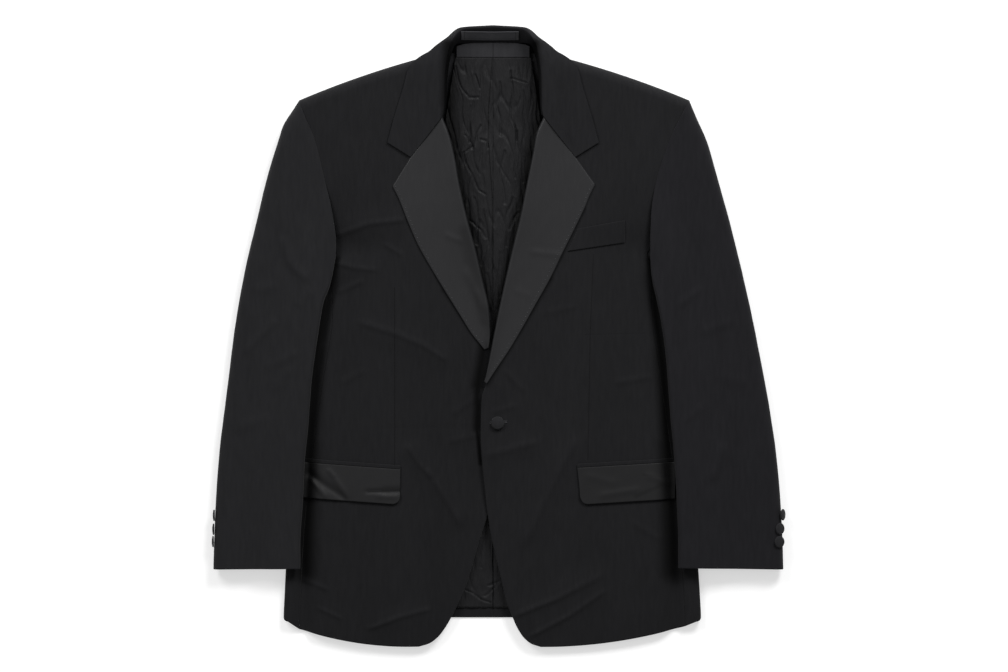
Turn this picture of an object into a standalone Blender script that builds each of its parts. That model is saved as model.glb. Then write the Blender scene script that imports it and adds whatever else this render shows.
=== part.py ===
"""A tuxedo jacket laid flat on its back, buttoned, with its fronts up.

The frame is X to the wearer's left, Y towards the collar, Z up from the surface that it lies on. All sizes
below are in millimetres and become metres in sheet() and button(). The origin is under the middle of the
jacket. Every piece is a wall of cloth that is built from rows of named points.
"""

import math

import bpy
import numpy as np

MM = 0.001

WOOL_WALL = 1.8
SATIN_WALL = 1.8
LINING_WALL = 1.0
SEAM_GAP = 0.4
POCKET_WALL = 1.6
LOOP_WALL = 1.2
FOLD_RADIUS = 6.0  # the body's side fold
SEAM_FROM_FOLD = 21.0  # from the fold to the seam between front and side panel
SEAM_FROM_FOLD_AT_ARM = 8.0  # the same where the seam comes near the armhole
BACK_SEAM_FROM_FOLD = 45.0
SHOULDER_RADIUS = 14.0
SHOULDER_TURN = (0, 35, 65, 90)  # degrees round the turn of the cloth at the shoulder seam
CENTRE_X = -9.0
BACK_HEM_Y = -365
PANEL_HEM_Y = -370
SHOULDER_Y = 306  # where the shoulder seam meets the sleeve
FRONT_LENGTH = 640
OVERLAP = {"lift": 2.5, "drop": 2.0, "half_width": 75, "top_y": 130, "fade": 90}  # of the fastened fronts
ROLL_RADIUS = 3.5
LAPEL_GAP = 0.5

# Changes along y: where each starts, and the distance that it takes.
FADES = {
    "front seam reaches armhole": (106, 12),
    "back seam reaches armhole": (98, 14),
    "panel nears underarm": (40, 64),
    "panel nears hem": (-300, -70),
    "back rises over collar": (330, 16),
    "lining rises over facing": (318, 16),
}

COLOURS = {
    "wool": (0.018, 0.018, 0.020),
    "satin": (0.030, 0.030, 0.032),
    "lining": (0.022, 0.022, 0.024),
}

# Height of the fronts' outer face over the surface, at fractions of the way from the edge to the centre.
HEIGHT_FRACTIONS = (0.0, 0.15, 0.5, 1.0)
HEIGHTS = (
    # y, edge, near, middle, centre
    (-402, 9.5, 10.0, 10.5, 9.5),
    (-365, 12.0, 12.0, 12.5, 11.0),
    (-290, 12.0, 13.5, 14.5, 12.5),
    (-200, 12.0, 14.0, 16.5, 13.0),
    (-110, 12.0, 14.5, 17.5, 13.5),
    (-20, 12.0, 15.5, 20.0, 15.5),
    (50, 12.0, 17.5, 22.5, 18.5),
    (105, 12.0, 19.0, 25.0, 22.0),
    (150, 20.0, 27.0, 28.0, 26.0),
    (200, 27.0, 31.0, 31.0, 30.0),
    (250, 30.0, 33.0, 33.0, 33.0),
    (300, 31.0, 34.0, 35.0, 36.0),
    (370, 31.0, 35.0, 37.0, 38.0),
)

# The side of the body: its fold below the armhole, and the armhole's front edge above.
BODY_EDGE = {
    "right": (
        # y, x
        (-402, -282), (-365, -281), (-343, -280), (-278, -277), (-213, -272), (-148, -264), (-83, -255),
        (-18, -244), (47, -233), (97, -225), (125, -213), (158, -217), (198, -226), (252, -239),
        (288, -254), (306, -261), (370, -275),
    ),
    "left": (
        (-402, 262), (-365, 261), (-343, 260), (-278, 256), (-213, 251), (-148, 243), (-83, 234),
        (-18, 224), (47, 213), (97, 202), (125, 195), (158, 196), (198, 202), (252, 219),
        (288, 236), (306, 246), (370, 262),
    ),
}

# Rows across each front, from its side seam or armhole to its front edge or the roll of its lapel.
FRONT_ROWS = {
    "right": (
        # side y, edge x, edge y
        (-380, -105, -402.5), (-373, -92, -398.5), (-363, -81, -390.5), (-350, -71.5, -378.5),
        (-334, -62, -362), (-310, -45, -325), (-260, -26, -262), (-215, -10, -215), (-165, 6, -165),
        (-110, 9, -112), (-55, 1, -60), (0, -12, -10), (50, -24, 47), (90, -34, 90), (125, -43, 125),
        (165, -53, 165), (200, -62, 205), (240, -69, 250), (275, -82, 290), (294, -86, 330), (306, -91, 364),
    ),
    "left": (
        (-376, 53, -403), (-369, 41, -399), (-360, 31.5, -391.5), (-348, 23.5, -380), (-334, 16.5, -365),
        (-310, 9, -345), (-260, -3, -295), (-215, -13, -250), (-165, -20, -195), (-110, -25, -130),
        (-68, -24, -82), (-30, -9, -42), (5, -3, -6), (50, 10, 47), (90, 19, 90), (125, 26, 122),
        (165, 36, 165), (200, 44, 205), (240, 52, 250), (275, 64, 290), (294, 68, 330), (306, 73, 364),
    ),
}
UNDERARM_YS = (0, 20, 38, 54.5, 69.6, 82.7, 95.6, 108, 113, 118, 124)  # where the seam nears the armhole
PANEL_YS = (20, 38, 54, 68, 80, 92, 104)  # rows of the side panel near the armhole
PANEL_HEM_DROP = {"right": 10.0, "left": 6.0}  # of its front seam under its fold
PANEL_TOP_RISE = 4.0
HEM_SAG = -7.0
SHOULDER_BOW = 3.5

BACK_TOP = (
    # distance from the centre seam, y
    (0, 378), (40, 373), (66, 362), (84, 358), (100, 358), (121, 353.5), (186, 332), (252, 306),
)
BACK_YS = (102, 105, 108.5, 112, 125, 150, 184, 220, 258)  # rows of the back beside the armhole
BACK_OVER_COLLAR = {"lift": 3.8, "out_to": 118, "fade": 20}
BACK_SHOULDER = {"out_from": 78, "fade": 16}
BACK_SPREAD = (0.3, 0.7)  # the rows start to follow the back's top here, and take this part of its length

LAPEL_ROWS = {
    "right": (
        # roll x, roll y, middle x, middle y, outer x, outer y
        (-74, 283, -115.5, 230, -138.5, 193), (-66, 262, -107, 213, -131, 178),
        (-59, 235, -98, 191, -121, 153), (-53, 200, -85, 158, -107, 120), (-43, 155, -70, 121, -89, 88),
        (-32, 115, -54, 87, -72, 60),
        (-22, 72, -40, 51, -52, 28), (-14, 36, -27, 17, -37, 4), (-12, 5, -18, -2, -24, -12),
        (-14, -14, -17, -16, -20, -17),
    ),
    "left": (
        (56, 283, 96.8, 231.4, 122.5, 195), (47, 262, 91, 215, 116, 182), (42, 235, 83, 190, 109, 165),
        (35, 200, 70, 158, 97, 140), (26, 155, 57, 121, 81, 108), (17, 118, 43, 88, 65, 75),
        (7, 75, 28, 54, 47, 43), (-1, 38, 14, 18, 29, 11), (-8, 3, 2, -14, 11, -19),
        (-14, -28, -8, -39, -4, -41), (-20.5, -58, -19, -60, -17, -61),
    ),
}
LAPEL_MIDDLE = 0.7  # how far across the middle column stands
LAPEL_ACROSS = (0.12, 0.28, 0.48, 0.7, 0.85, 1)
ROLL_LIFT = 5.0
ROLL_TURN = (160, 115, 75, 35, 0)  # degrees before the top of the roll, where the lapel is wide enough
WIDTH_OF_FULL_TURN = 25
WIDTH_OF_FULL_LIFT = 40

# The collar's half, from the notch to the centre back. x counts outwards from the centre.
COLLAR_STATIONS = (
    # over the front (1) or behind (0), then x, y, z of seam, crease, middle, foot and edge.
    # Over the front, the last three z are heights above the front.
    (1, 59, 287, 32, 65, 284, 43, 106.5, 231.5, 3.0, 121.5, 241, 3.0, 137, 250.5, 3.0),
    (1, 57, 303, 30, 63, 300, 44, 100, 259, 3.5, 115, 269, 3.0, 129, 280, 3.0),
    (1, 54, 332, 26, 63, 332, 45, 92, 312, 4.5, 104, 316, 3.5, 116.5, 321, 3.0),
    (0, 50, 356, 20, 60, 359, 45, 85, 348, 43, 97, 349, 42, 108, 350, 39),
    (0, 50, 365, 18, 57, 374, 43, 73, 372, 39, 81, 370, 35.5, 84.5, 367.5, 31),
    (0, 48, 370, 17, 54, 381, 42, 65, 382, 33, 74, 377, 19, 79, 367.5, 5),
    (0, 44, 375, 14, 50, 388, 38, 58, 389, 20, 64, 382, 3, 70, 353, 0),
    (0, 30, 380, 9, 38, 398, 30, 42, 401, 14, 44, 392, 0.6, 44, 358, 0),
    (0, 0, 381, 6, 0, 401, 24, 0, 404, 12, 0, 398, 0.6, 0, 358, 0),
)
COLLAR_MARKS = (0, 0.28, 0.62, 0.8, 1)  # how far across the seam, crease, middle, foot and edge stand
COLLAR_ACROSS = (0, 0.12, 0.21, 0.28, 0.35, 0.45, 0.54, 0.62, 0.7, 0.8, 0.9, 1)
HANGER_LOOP = {"from": -0.235, "to": 0.13, "low": 0.09, "high": 0.2, "lift": 1.9}  # as collar_face() counts

# Lines across each sleeve, from the armhole to the cuff, between its outer and its inner edge.
SLEEVE_ROWS = {
    "right": (
        # outer x, outer y, inner x, inner y, thickness at the outer side, at the inner side
        (-262, 306, -214, 106, 33, 9), (-277, 281, -218, 82, 31, 9.5), (-287, 255, -222, 63, 29, 10),
        (-303, 203, -229, 44, 27, 11), (-317, 145, -234, 15, 25, 11), (-332, 80, -239, -20, 24, 11),
        (-344, 11, -244, -59, 23, 11), (-356, -83, -248, -115, 22, 11), (-364, -148, -253, -163, 22, 12),
        (-369, -213, -256, -219, 22, 12), (-371, -265, -259, -265, 22, 12), (-372, -302, -259, -301, 22, 12),
    ),
    "left": (
        (247, 306, 196, 106, 33, 9), (257, 281, 197, 84, 31, 9.5), (268, 255, 199, 66, 29, 10),
        (283, 203, 203, 47, 27, 11), (299, 145, 209, 15, 25, 11), (315, 80, 214, -20, 24, 11),
        (330, 11, 218, -63, 23, 11), (348, -83, 222, -115, 22, 11), (358, -148, 226, -163, 22, 12),
        (364, -213, 229, -219, 22, 12), (367, -265, 231, -265, 22, 12), (368, -302, 231, -300, 22, 12),
    ),
}
ARMHOLE_GAP = 0.9
BOWED_PART = 0.3  # of the sleeve's length, over which its end follows the armhole's curve
SLEEVE_LIFT = 14.6  # the sleeve's inner edge lies on the body's side
SLEEVE_RISE = (0.42, 0.36)  # the sleeve climbs onto the body from here across it, over this part of its width
UNDERARM_LIFT = 2.5
UNDERARM_PART = 0.2  # of the sleeve's length, which has that lift
SLEEVE_MARKS = {
    # round the sleeve, as sleeve_point() counts. The two seams lie under it, beside its edges.
    "top_sleeve": (-0.3, 0, 0.35, 0.7, 1, 1.17, 1.33, 1.5, 1.67, 1.83, 2, 2.25, 2.5, 2.75, 3, 3.2),
    "under_sleeve": (3.205, 3.4, 3.6, 3.8, 4, -0.8, -0.6, -0.33),
}

# The largest creases of the fronts: soft ridges between two points, with their half width and height.
CREASES = {
    "right": (
        # from x, from y, to x, to y, half width, height
        (-205, 138, -125, 152, 16, 2.0), (-215, 92, -160, 84, 15, 2.0), (-180, 16, -65, -30, 17, 2.2),
        (-120, -140, -88, -180, 16, 2.0), (-88, -180, -50, -244, 16, 2.0), (-168, -378, -92, -356, 15, 1.6),
    ),
    "left": (
        (-18, -154, 48, -136, 16, 1.8), (98, -135, 34, -266, 18, 2.4), (22, -362, 130, -310, 16, 2.2),
        (40, -388, 136, -332, 14, 1.8),
    ),
}

# The lining's largest crinkles, which run up and down the back.
CRINKLES = (
    # x, half width, height, wave length along y, shift along y
    (-52, 7, 2.2, 170, 20), (-34, 6, 2.6, 120, 60), (-17, 5, 2.0, 150, 0), (3, 6, 2.6, 135, 90),
    (22, 6, 2.2, 160, 40), (42, 8, 2.4, 145, 10),
)

LINING_BOTTOM_Y = -352
LINING_TOP_Y = 361
LINING_SHAPE = (
    # y, half width of the cut, half width of the hollow that it lies in, rise at the hollow's side
    (-360, 120, 120, 0.5), (-60, 120, 120, 1), (0, 120, 120, 2.5), (100, 103, 103, 5), (150, 90, 90, 7),
    (200, 76, 77, 9), (300, 48, 52, 15), (370, 40, 46, 9),
)
LINING_HEIGHT = 3.2
LINING_RISE = 3.6
CRINKLE_SWING = 5.0

NECK_FACING = {
    "half_width": 36.0, "bottom_y": 362.0, "top_y": 377.5, "round": 6.0,
    "height": 6.6, "rise": 5.5, "rise_width": 46.0, "slope": 1.0,
}

FLAPS = {
    # front end x, rear end x, top y at the front end and at the rear end, height
    "right": {"front": -129, "rear": -255.5, "top_front": -172, "top_rear": -163, "height": 46},
    "left": {"front": 100, "rear": 227.5, "top_front": -170, "top_rear": -162.5, "height": 48},
}
FLAP_CORNER = 9.0
FLAP_LIFT = 2.5  # of the flap's face over the front
FLAP_HANG = 0.8  # its lower edge stands out by this much more
JET_HEIGHT = 5.0
JET_LIFT = 2.8

WELT = {
    "inner": 100.5, "outer": 161.5, "top_inner": 139.5, "top_outer": 150.5,
    "height": 29.0, "slant": 13.0, "lift": 2.0,
}

BUTTON_SIDES = 14
BUTTON_PROFILE = (
    # fraction of the radius, fraction of the height
    (0.86, 0.0), (1.0, 0.35), (0.90, 0.75), (0.55, 0.95),
)
FRONT_BUTTON = {"x": -3.0, "y": -112.0, "gap": 1.2, "diameter": 17.0, "height": 4.5}
CUFF_BUTTON = {"gap": 0.7, "diameter": 15.0, "height": 3.6, "level": 10.2, "climb": 9.0, "tuck": 2.6}
CUFF_BUTTONS = {
    # y of each button, and how far their faces look up from level, in degrees
    "right": {"ys": (-232, -250, -266), "tilt": 8.0},
    "left": {"ys": (-231, -249, -266), "tilt": 30.0},
}


# ---------------------------------------------------------------- curves and heights


def spline(knots, values, at):
    """A smooth curve through the values, without overshoot between them."""
    knots, values, at = (np.asarray(a, float) for a in (knots, values, at))
    steps = np.diff(knots)
    slopes = np.diff(values) / steps
    tangents = np.zeros(len(knots))
    tangents[0], tangents[-1] = slopes[0], slopes[-1]
    for i in range(1, len(knots) - 1):
        if slopes[i - 1] * slopes[i] > 0:
            tangents[i] = 2 * slopes[i - 1] * slopes[i] / (slopes[i - 1] + slopes[i])
    span = np.clip(np.searchsorted(knots, at, side="right") - 1, 0, len(steps) - 1)
    t = np.clip((at - knots[span]) / steps[span], 0, 1)
    t2, t3 = t * t, t * t * t
    return (
        (2 * t3 - 3 * t2 + 1) * values[span]
        + (t3 - 2 * t2 + t) * steps[span] * tangents[span]
        + (3 * t2 - 2 * t3) * values[span + 1]
        + (t3 - t2) * steps[span] * tangents[span + 1]
    )


def smoothstep(t):
    t = np.clip(t, 0, 1)
    return t * t * (3 - 2 * t)


def fade(name, y):
    start, distance = FADES[name]
    return smoothstep((y - start) / distance)


def columns_at(rows, fractions):
    """Each column of a table, at fractions of the way down its rows, as an array of fraction by column."""
    table = np.array(rows, float)
    knots = np.linspace(0, 1, len(table))
    return np.stack([spline(knots, table[:, c], fractions) for c in range(table.shape[1])], axis=1)


def crease_height(x, y, creases):
    total = np.zeros_like(x)
    for from_x, from_y, to_x, to_y, half_width, height in creases:
        along_x, along_y = to_x - from_x, to_y - from_y
        length = math.hypot(along_x, along_y)
        t = ((x - from_x) * along_x + (y - from_y) * along_y) / length**2
        off = np.abs((x - from_x) * along_y - (y - from_y) * along_x) / length
        ends = smoothstep((t + 0.15) / 0.3) * smoothstep((1.15 - t) / 0.3)
        total += height * ends * np.exp(-((off / half_width) ** 2))
    return total


def edge_x(side, y):
    table = np.array(BODY_EDGE[side], float)
    return spline(table[:, 0], table[:, 1], y)


def seam_x(side, y, inset_below):
    """Where a seam that runs beside the fold stands at y: inset_below inside the fold, and on the armhole's
    edge above it."""
    inwards = 1 if side == "right" else -1
    inset = SEAM_FROM_FOLD_AT_ARM + (inset_below - SEAM_FROM_FOLD_AT_ARM) * (1 - smoothstep(y / 100))
    inset = inset * (1 - fade("front seam reaches armhole", y))
    return edge_x(side, y) + inwards * inset


def front_height(side, x, y):
    """Height of the front's outer face at (x, y)."""
    x, y = np.broadcast_arrays(np.asarray(x, float), np.asarray(y, float))
    table = np.array(HEIGHTS, float)
    flat_y = y.ravel()
    levels = np.stack([spline(table[:, 0], table[:, c], flat_y) for c in range(1, 5)], axis=1)
    edge = edge_x(side, flat_y)
    t = np.clip((x.ravel() - edge) / (CENTRE_X - edge), 0, 1)
    z = np.array([spline(HEIGHT_FRACTIONS, levels[i], [t[i]])[0] for i in range(len(t))])
    z = z.reshape(x.shape)
    near_centre = smoothstep(1 - np.abs(x - CENTRE_X) / OVERLAP["half_width"])
    near_centre = near_centre * smoothstep((OVERLAP["top_y"] - y) / OVERLAP["fade"])
    z = z + (OVERLAP["lift"] if side == "left" else -OVERLAP["drop"]) * near_centre
    return z + crease_height(x, y, CREASES[side])


# ---------------------------------------------------------------- meshes


def material(name):
    found = bpy.data.materials.get(name)
    if found:
        return found
    made = bpy.data.materials.new(name)
    made.use_nodes = True
    shader = made.node_tree.nodes["Principled BSDF"]
    kind = name.split("_")[0]
    shader.inputs["Base Color"].default_value = (*COLOURS[kind], 1)
    shader.inputs["Roughness"].default_value = {"wool": 0.85, "satin": 0.38, "lining": 0.5}[kind]
    shader.inputs["Metallic"].default_value = 0.0
    return made


def add_object(name, points, faces, finish, smooth_angle=50):
    """An object of this closed surface, turned to face out."""
    points = np.asarray(points, float) * MM
    volume = 0.0
    for face in faces:
        for i in range(1, len(face) - 1):
            volume += np.dot(points[face[0]], np.cross(points[face[i]], points[face[i + 1]]))
    if volume < 0:
        faces = [face[::-1] for face in faces]
    mesh = bpy.data.meshes.new(name)
    mesh.from_pydata(points.tolist(), [], [list(map(int, face)) for face in faces])
    mesh.materials.append(material(finish))
    mesh.shade_smooth()
    mesh.set_sharp_from_angle(angle=math.radians(smooth_angle))
    piece = bpy.data.objects.new(name, mesh)
    bpy.context.scene.collection.objects.link(piece)
    return piece


def grid_normals(grid):
    along_u = np.gradient(grid, axis=0)
    along_v = np.gradient(grid, axis=1)
    normals = np.cross(along_u, along_v)
    return normals / np.linalg.norm(normals, axis=2, keepdims=True)


def sheet(name, face, wall, towards, finish, normals=None):
    """A wall of cloth whose outer face is this grid of points. Its other face lies a wall's width towards
    the side that `towards` gives: 1 along the grid's normals or -1 against them."""
    inner = face + (grid_normals(face) if normals is None else normals) * wall * towards
    rows, columns = face.shape[:2]
    points = np.concatenate([face.reshape(-1, 3), inner.reshape(-1, 3)])
    start = rows * columns

    def at(i, j, layer):
        return layer * start + i * columns + j

    faces = []
    for i in range(rows - 1):
        for j in range(columns - 1):
            faces.append((at(i, j, 0), at(i + 1, j, 0), at(i + 1, j + 1, 0), at(i, j + 1, 0)))
            faces.append((at(i, j, 1), at(i, j + 1, 1), at(i + 1, j + 1, 1), at(i + 1, j, 1)))
    for i in range(rows - 1):
        faces.append((at(i, 0, 0), at(i, 0, 1), at(i + 1, 0, 1), at(i + 1, 0, 0)))
        last = columns - 1
        faces.append((at(i, last, 0), at(i + 1, last, 0), at(i + 1, last, 1), at(i, last, 1)))
    for j in range(columns - 1):
        faces.append((at(0, j, 0), at(0, j + 1, 0), at(0, j + 1, 1), at(0, j, 1)))
        last = rows - 1
        faces.append((at(last, j, 0), at(last, j, 1), at(last, j + 1, 1), at(last, j + 1, 0)))
    return add_object(name, points, faces, finish)


def level_end(face):
    """The grid's normals, with those of the last row turned level, where the cloth meets a seam edge on."""
    normals = grid_normals(face)
    normals[-1, :, 2] = 0
    normals[-1] /= np.maximum(np.linalg.norm(normals[-1], axis=1, keepdims=True), 1e-6)
    return normals


def down(face):
    """Which way along the grid's normals is down."""
    return -1 if grid_normals(face)[..., 2].mean() > 0 else 1


# ---------------------------------------------------------------- body


def shoulder_turn(distance):
    """1 on the flat, falling to 0 where the cloth turns over the shoulder's edge."""
    t = np.clip(1 - distance / SHOULDER_RADIUS, 0, 1)
    return np.sqrt(np.maximum(1 - t * t, 0))


def turned_in(start):
    """Distances from `start`, in the direction of -1, of the rows round the turn at the shoulder seam."""
    return start - SHOULDER_RADIUS * (1 - np.sin(np.radians(SHOULDER_TURN)))


def make_front(side):
    turned = turned_in(FRONT_LENGTH) / FRONT_LENGTH
    side_ys = np.array(FRONT_ROWS[side])[:, 0]
    underarm = np.interp(UNDERARM_YS, side_ys, np.linspace(0, 1, len(side_ys)))
    to_chest = np.linspace(0.05, underarm[0] - 0.03, 11)
    to_shoulder = np.linspace(underarm[-1] + 0.04, 0.94, 6)
    down_the_front = np.concatenate([[0, 0.02], to_chest, underarm, to_shoulder, turned])
    rows = columns_at(FRONT_ROWS[side], down_the_front)
    across = np.linspace(0, 1, 11)
    seam = seam_x(side, rows[:, 0], SEAM_FROM_FOLD)
    side_xy = np.stack([seam, rows[:, 0]], axis=1)[:, None]
    edge_xy = rows[:, None, 1:3]
    plan = side_xy + (edge_xy - side_xy) * across[None, :, None]
    arch = 4 * across * (1 - across)
    hem = np.clip(1 - down_the_front / 0.08, 0, 1)
    top = np.clip((down_the_front - 0.85) / 0.15, 0, 1)
    plan[..., 1] += (HEM_SAG * hem**2 + SHOULDER_BOW * top**2)[:, None] * arch[None, :]
    height = front_height(side, plan[..., 0], plan[..., 1])
    distance = np.linalg.norm(plan - plan[-1:], axis=2)
    middle = height[-1:] / 2 + SEAM_GAP / 2
    z = np.where(distance < SHOULDER_RADIUS, middle + (height - middle) * shoulder_turn(distance), height)
    face = np.dstack([plan, z])
    return sheet(f"front_{side}", face, WOOL_WALL, down(face), "wool_front", level_end(face))


def back_half_width(side, y):
    """From the centre seam to the back's side seam, or to its armhole above."""
    to_fold = abs(float(edge_x(side, y)) - CENTRE_X)
    below = BACK_SEAM_FROM_FOLD + SEAM_GAP
    return to_fold - SEAM_GAP / 2 - below + (below - SEAM_GAP) * fade("back seam reaches armhole", y)


def make_side_panel(side):
    """The panel under the arm, folded round the side of the body."""
    outwards = -1 if side == "right" else 1
    face = []
    for y in np.concatenate([np.linspace(PANEL_HEM_Y, 0, 9), PANEL_YS]):
        hem, arm = fade("panel nears hem", y), fade("panel nears underarm", y)
        fold = float(edge_x(side, np.clip(y, BACK_HEM_Y, BODY_EDGE[side][9][0])))
        seam_y = y - PANEL_HEM_DROP[side] * hem + PANEL_TOP_RISE * arm
        seam = float(seam_x(side, seam_y, SEAM_FROM_FOLD)) + outwards * SEAM_GAP
        section = []
        for part in np.linspace(0, 1, 3):
            x = seam + (fold - outwards * FOLD_RADIUS - seam) * part
            at_y = seam_y + (y - seam_y) * part
            section.append((x, at_y, max(float(front_height(side, x, at_y)), 2 * FOLD_RADIUS)))
        edge_z = section[-1][2] / 2
        for angle in np.radians([60, 30, 0, -30, -60]):
            x = fold - outwards * FOLD_RADIUS * (1 - math.cos(angle))
            section.append((x, y, edge_z + edge_z * math.sin(angle)))
        start = fold - outwards * FOLD_RADIUS
        end_y = y - (PANEL_YS[-1] - FADES["back seam reaches armhole"][0]) * arm
        end = CENTRE_X + outwards * (1.5 * SEAM_GAP + back_half_width(side, end_y))
        for part in (0, 0.5, 1):
            section.append((start + (end - start) * part, y + (end_y - y) * part, 0.0))
        face.append(section)
    face = np.array(face, float)
    inward = 1 if grid_normals(face)[2, 5, 0] * outwards < 0 else -1
    return sheet(f"side_panel_{side}", face, WOOL_WALL, inward, "wool_side")


def make_back(side):
    """Half the back, flat on the surface, raised a little where the collar lies under it."""
    outwards = -1 if side == "right" else 1
    top_table = np.array(BACK_TOP, float)
    turned = turned_in(SHOULDER_Y)
    armhole_y = FADES["back seam reaches armhole"][0]
    face = []
    for side_y in [*np.linspace(BACK_HEM_Y, armhole_y, 8), *BACK_YS, *turned]:
        fraction = (side_y - BACK_HEM_Y) / (SHOULDER_Y - BACK_HEM_Y)
        half = back_half_width(side, side_y)
        section = []
        for part in np.linspace(0, 1, 8):
            out = half * part
            top_out = back_half_width(side, SHOULDER_Y) * part
            top_y = float(spline(top_table[:, 0], top_table[:, 1], [top_out])[0])
            y = side_y + (top_y - SHOULDER_Y) * smoothstep((fraction - BACK_SPREAD[0]) / BACK_SPREAD[1])
            x = CENTRE_X + outwards * (SEAM_GAP / 2 + out)
            near_collar = smoothstep((BACK_OVER_COLLAR["out_to"] - out) / BACK_OVER_COLLAR["fade"])
            over_collar = BACK_OVER_COLLAR["lift"] * fade("back rises over collar", y) * near_collar
            shoulder = float(front_height(side, x, top_y)) / 2 - SEAM_GAP
            beyond_collar = smoothstep((out - BACK_SHOULDER["out_from"]) / BACK_SHOULDER["fade"])
            rise = (1 - shoulder_turn(top_y - y)) * (shoulder - over_collar) * beyond_collar
            section.append((x, y, over_collar + max(rise, 0.0)))
        face.append(section)
    face = np.array(face)
    return sheet(f"back_{side}", face, WOOL_WALL, -down(face), "wool_back", level_end(face))


# ---------------------------------------------------------------- sleeves


def sleeve_point(side, row, mark):
    """A point of the sleeve's outer face. mark goes once round it: -1 to 0 is the lower quarter of the outer
    edge, 0 to 1 its upper quarter, 1 to 2 the top, 2 to 3 the inner edge and 3 to 4 the underside."""
    outer_x, outer_y, inner_x, inner_y, outer_thick, inner_thick, fraction = row
    width = math.hypot(inner_x - outer_x, inner_y - outer_y)
    outer_radius, inner_radius = outer_thick / 2, inner_thick / 2
    lift = SLEEVE_LIFT + UNDERARM_LIFT * (1 - smoothstep(fraction / UNDERARM_PART))
    outer_z, inner_z = outer_radius, inner_radius + lift
    straight = width - outer_radius - inner_radius
    if mark <= 1:
        angle = mark * math.pi / 2
        off, z = outer_radius * (1 - math.cos(angle)), outer_z + outer_radius * math.sin(angle)
    elif 2 <= mark <= 3:
        angle = (2.5 - mark) * math.pi
        off = width - inner_radius + inner_radius * math.cos(angle)
        z = inner_z + inner_radius * math.sin(angle)
    else:
        part = mark - 1 if mark < 2 else 4 - mark
        off = outer_radius + straight * part
        rise = smoothstep((off / width - SLEEVE_RISE[0]) / SLEEVE_RISE[1])
        radius = outer_radius + (inner_radius - outer_radius) * part
        z = outer_z + (inner_z - outer_z) * rise + radius * (1 if mark < 2 else -1)
        z += (outer_radius - radius) * (1 - rise) * (-1 if mark > 2 else 0)
    across = off / width
    armhole_y = SLEEVE_ROWS[side][0][1] + (SLEEVE_ROWS[side][0][3] - SLEEVE_ROWS[side][0][1]) * across
    chord_x = SLEEVE_ROWS[side][0][0] + (SLEEVE_ROWS[side][0][2] - SLEEVE_ROWS[side][0][0]) * across
    outwards = -1 if side == "right" else 1
    bow = float(edge_x(side, max(armhole_y, 125))) + outwards * ARMHOLE_GAP - chord_x
    x = outer_x + (inner_x - outer_x) * across + bow * (1 - smoothstep(fraction / BOWED_PART))
    y = outer_y + (inner_y - outer_y) * across
    return np.array([x, y, max(z, 0.0)])


def make_sleeve(side):
    """The top sleeve, which turns under at both its edges, and the under sleeve between them."""
    fractions = np.concatenate([np.linspace(0, BOWED_PART, 5)[:-1], np.linspace(BOWED_PART, 1, 9)])
    rows = [[*columns_at(SLEEVE_ROWS[side], [f])[0], f] for f in fractions]
    chord = np.array(rows[0][2:4]) - np.array(rows[0][0:2])
    across_armhole = np.array([chord[1], -chord[0], 0]) / np.linalg.norm(chord)
    for piece, round_marks in SLEEVE_MARKS.items():
        face = np.zeros((len(rows), len(round_marks), 3))
        normals = np.zeros_like(face)
        for i, row in enumerate(rows):
            ahead = rows[min(i + 1, len(rows) - 1)]
            behind = rows[max(i - 1, 0)]
            for j, mark in enumerate(round_marks):
                low, high = (mark - 0.04, mark + 0.04)
                if mark == 4:
                    low, high = 3.96, 4
                around = sleeve_point(side, row, high) - sleeve_point(side, row, low)
                along = sleeve_point(side, ahead, mark) - sleeve_point(side, behind, mark)
                normal = np.cross(around, along)
                if i == 0:
                    normal -= across_armhole * (normal @ across_armhole)
                face[i, j], normals[i, j] = sleeve_point(side, row, mark), normal / np.linalg.norm(normal)
        towards = 1 if side == "right" else -1
        sheet(f"{piece}_{side}", face, WOOL_WALL, towards, "wool_sleeve", normals)


# ---------------------------------------------------------------- lapels and collar


def make_lapel(side):
    rows = columns_at(LAPEL_ROWS[side], np.linspace(0, 1, 16))
    face = []
    for roll_x, roll_y, middle_x, middle_y, outer_x, outer_y in rows:
        roll = np.array([roll_x, roll_y])
        middle = np.array([middle_x, middle_y])
        outer = np.array([outer_x, outer_y])
        width = np.linalg.norm(middle - roll) + 0.3
        radius = min(ROLL_RADIUS, width * 0.3)
        turn = np.radians(90 - np.array(ROLL_TURN) * min(1, width / WIDTH_OF_FULL_TURN))
        outwards = (middle - roll) / width
        lift = ROLL_LIFT * min(1, width / WIDTH_OF_FULL_LIFT)
        centre = roll + outwards * radius

        def top_z(at, u):
            return float(front_height(side, at[0], at[1])) + LAPEL_GAP + SATIN_WALL + lift * (1 - u) ** 2.5

        roll_top = top_z(centre, 0)
        section = []
        for angle in turn:
            at = centre - outwards * radius * math.cos(angle)
            section.append((at[0], at[1], roll_top - radius + radius * math.sin(angle)))
        for u in LAPEL_ACROSS:
            if u <= LAPEL_MIDDLE:
                at = centre + (middle - centre) * u / LAPEL_MIDDLE
            else:
                at = middle + (outer - middle) * (u - LAPEL_MIDDLE) / (1 - LAPEL_MIDDLE)
            section.append((at[0], at[1], top_z(at, u)))
        face.append(section)
    face = np.array(face)
    towards = 1 if grid_normals(face)[8, 8, 2] < 0 else -1
    sheet(f"lapel_{side}", face, SATIN_WALL, towards, "satin_lapel")


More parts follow.
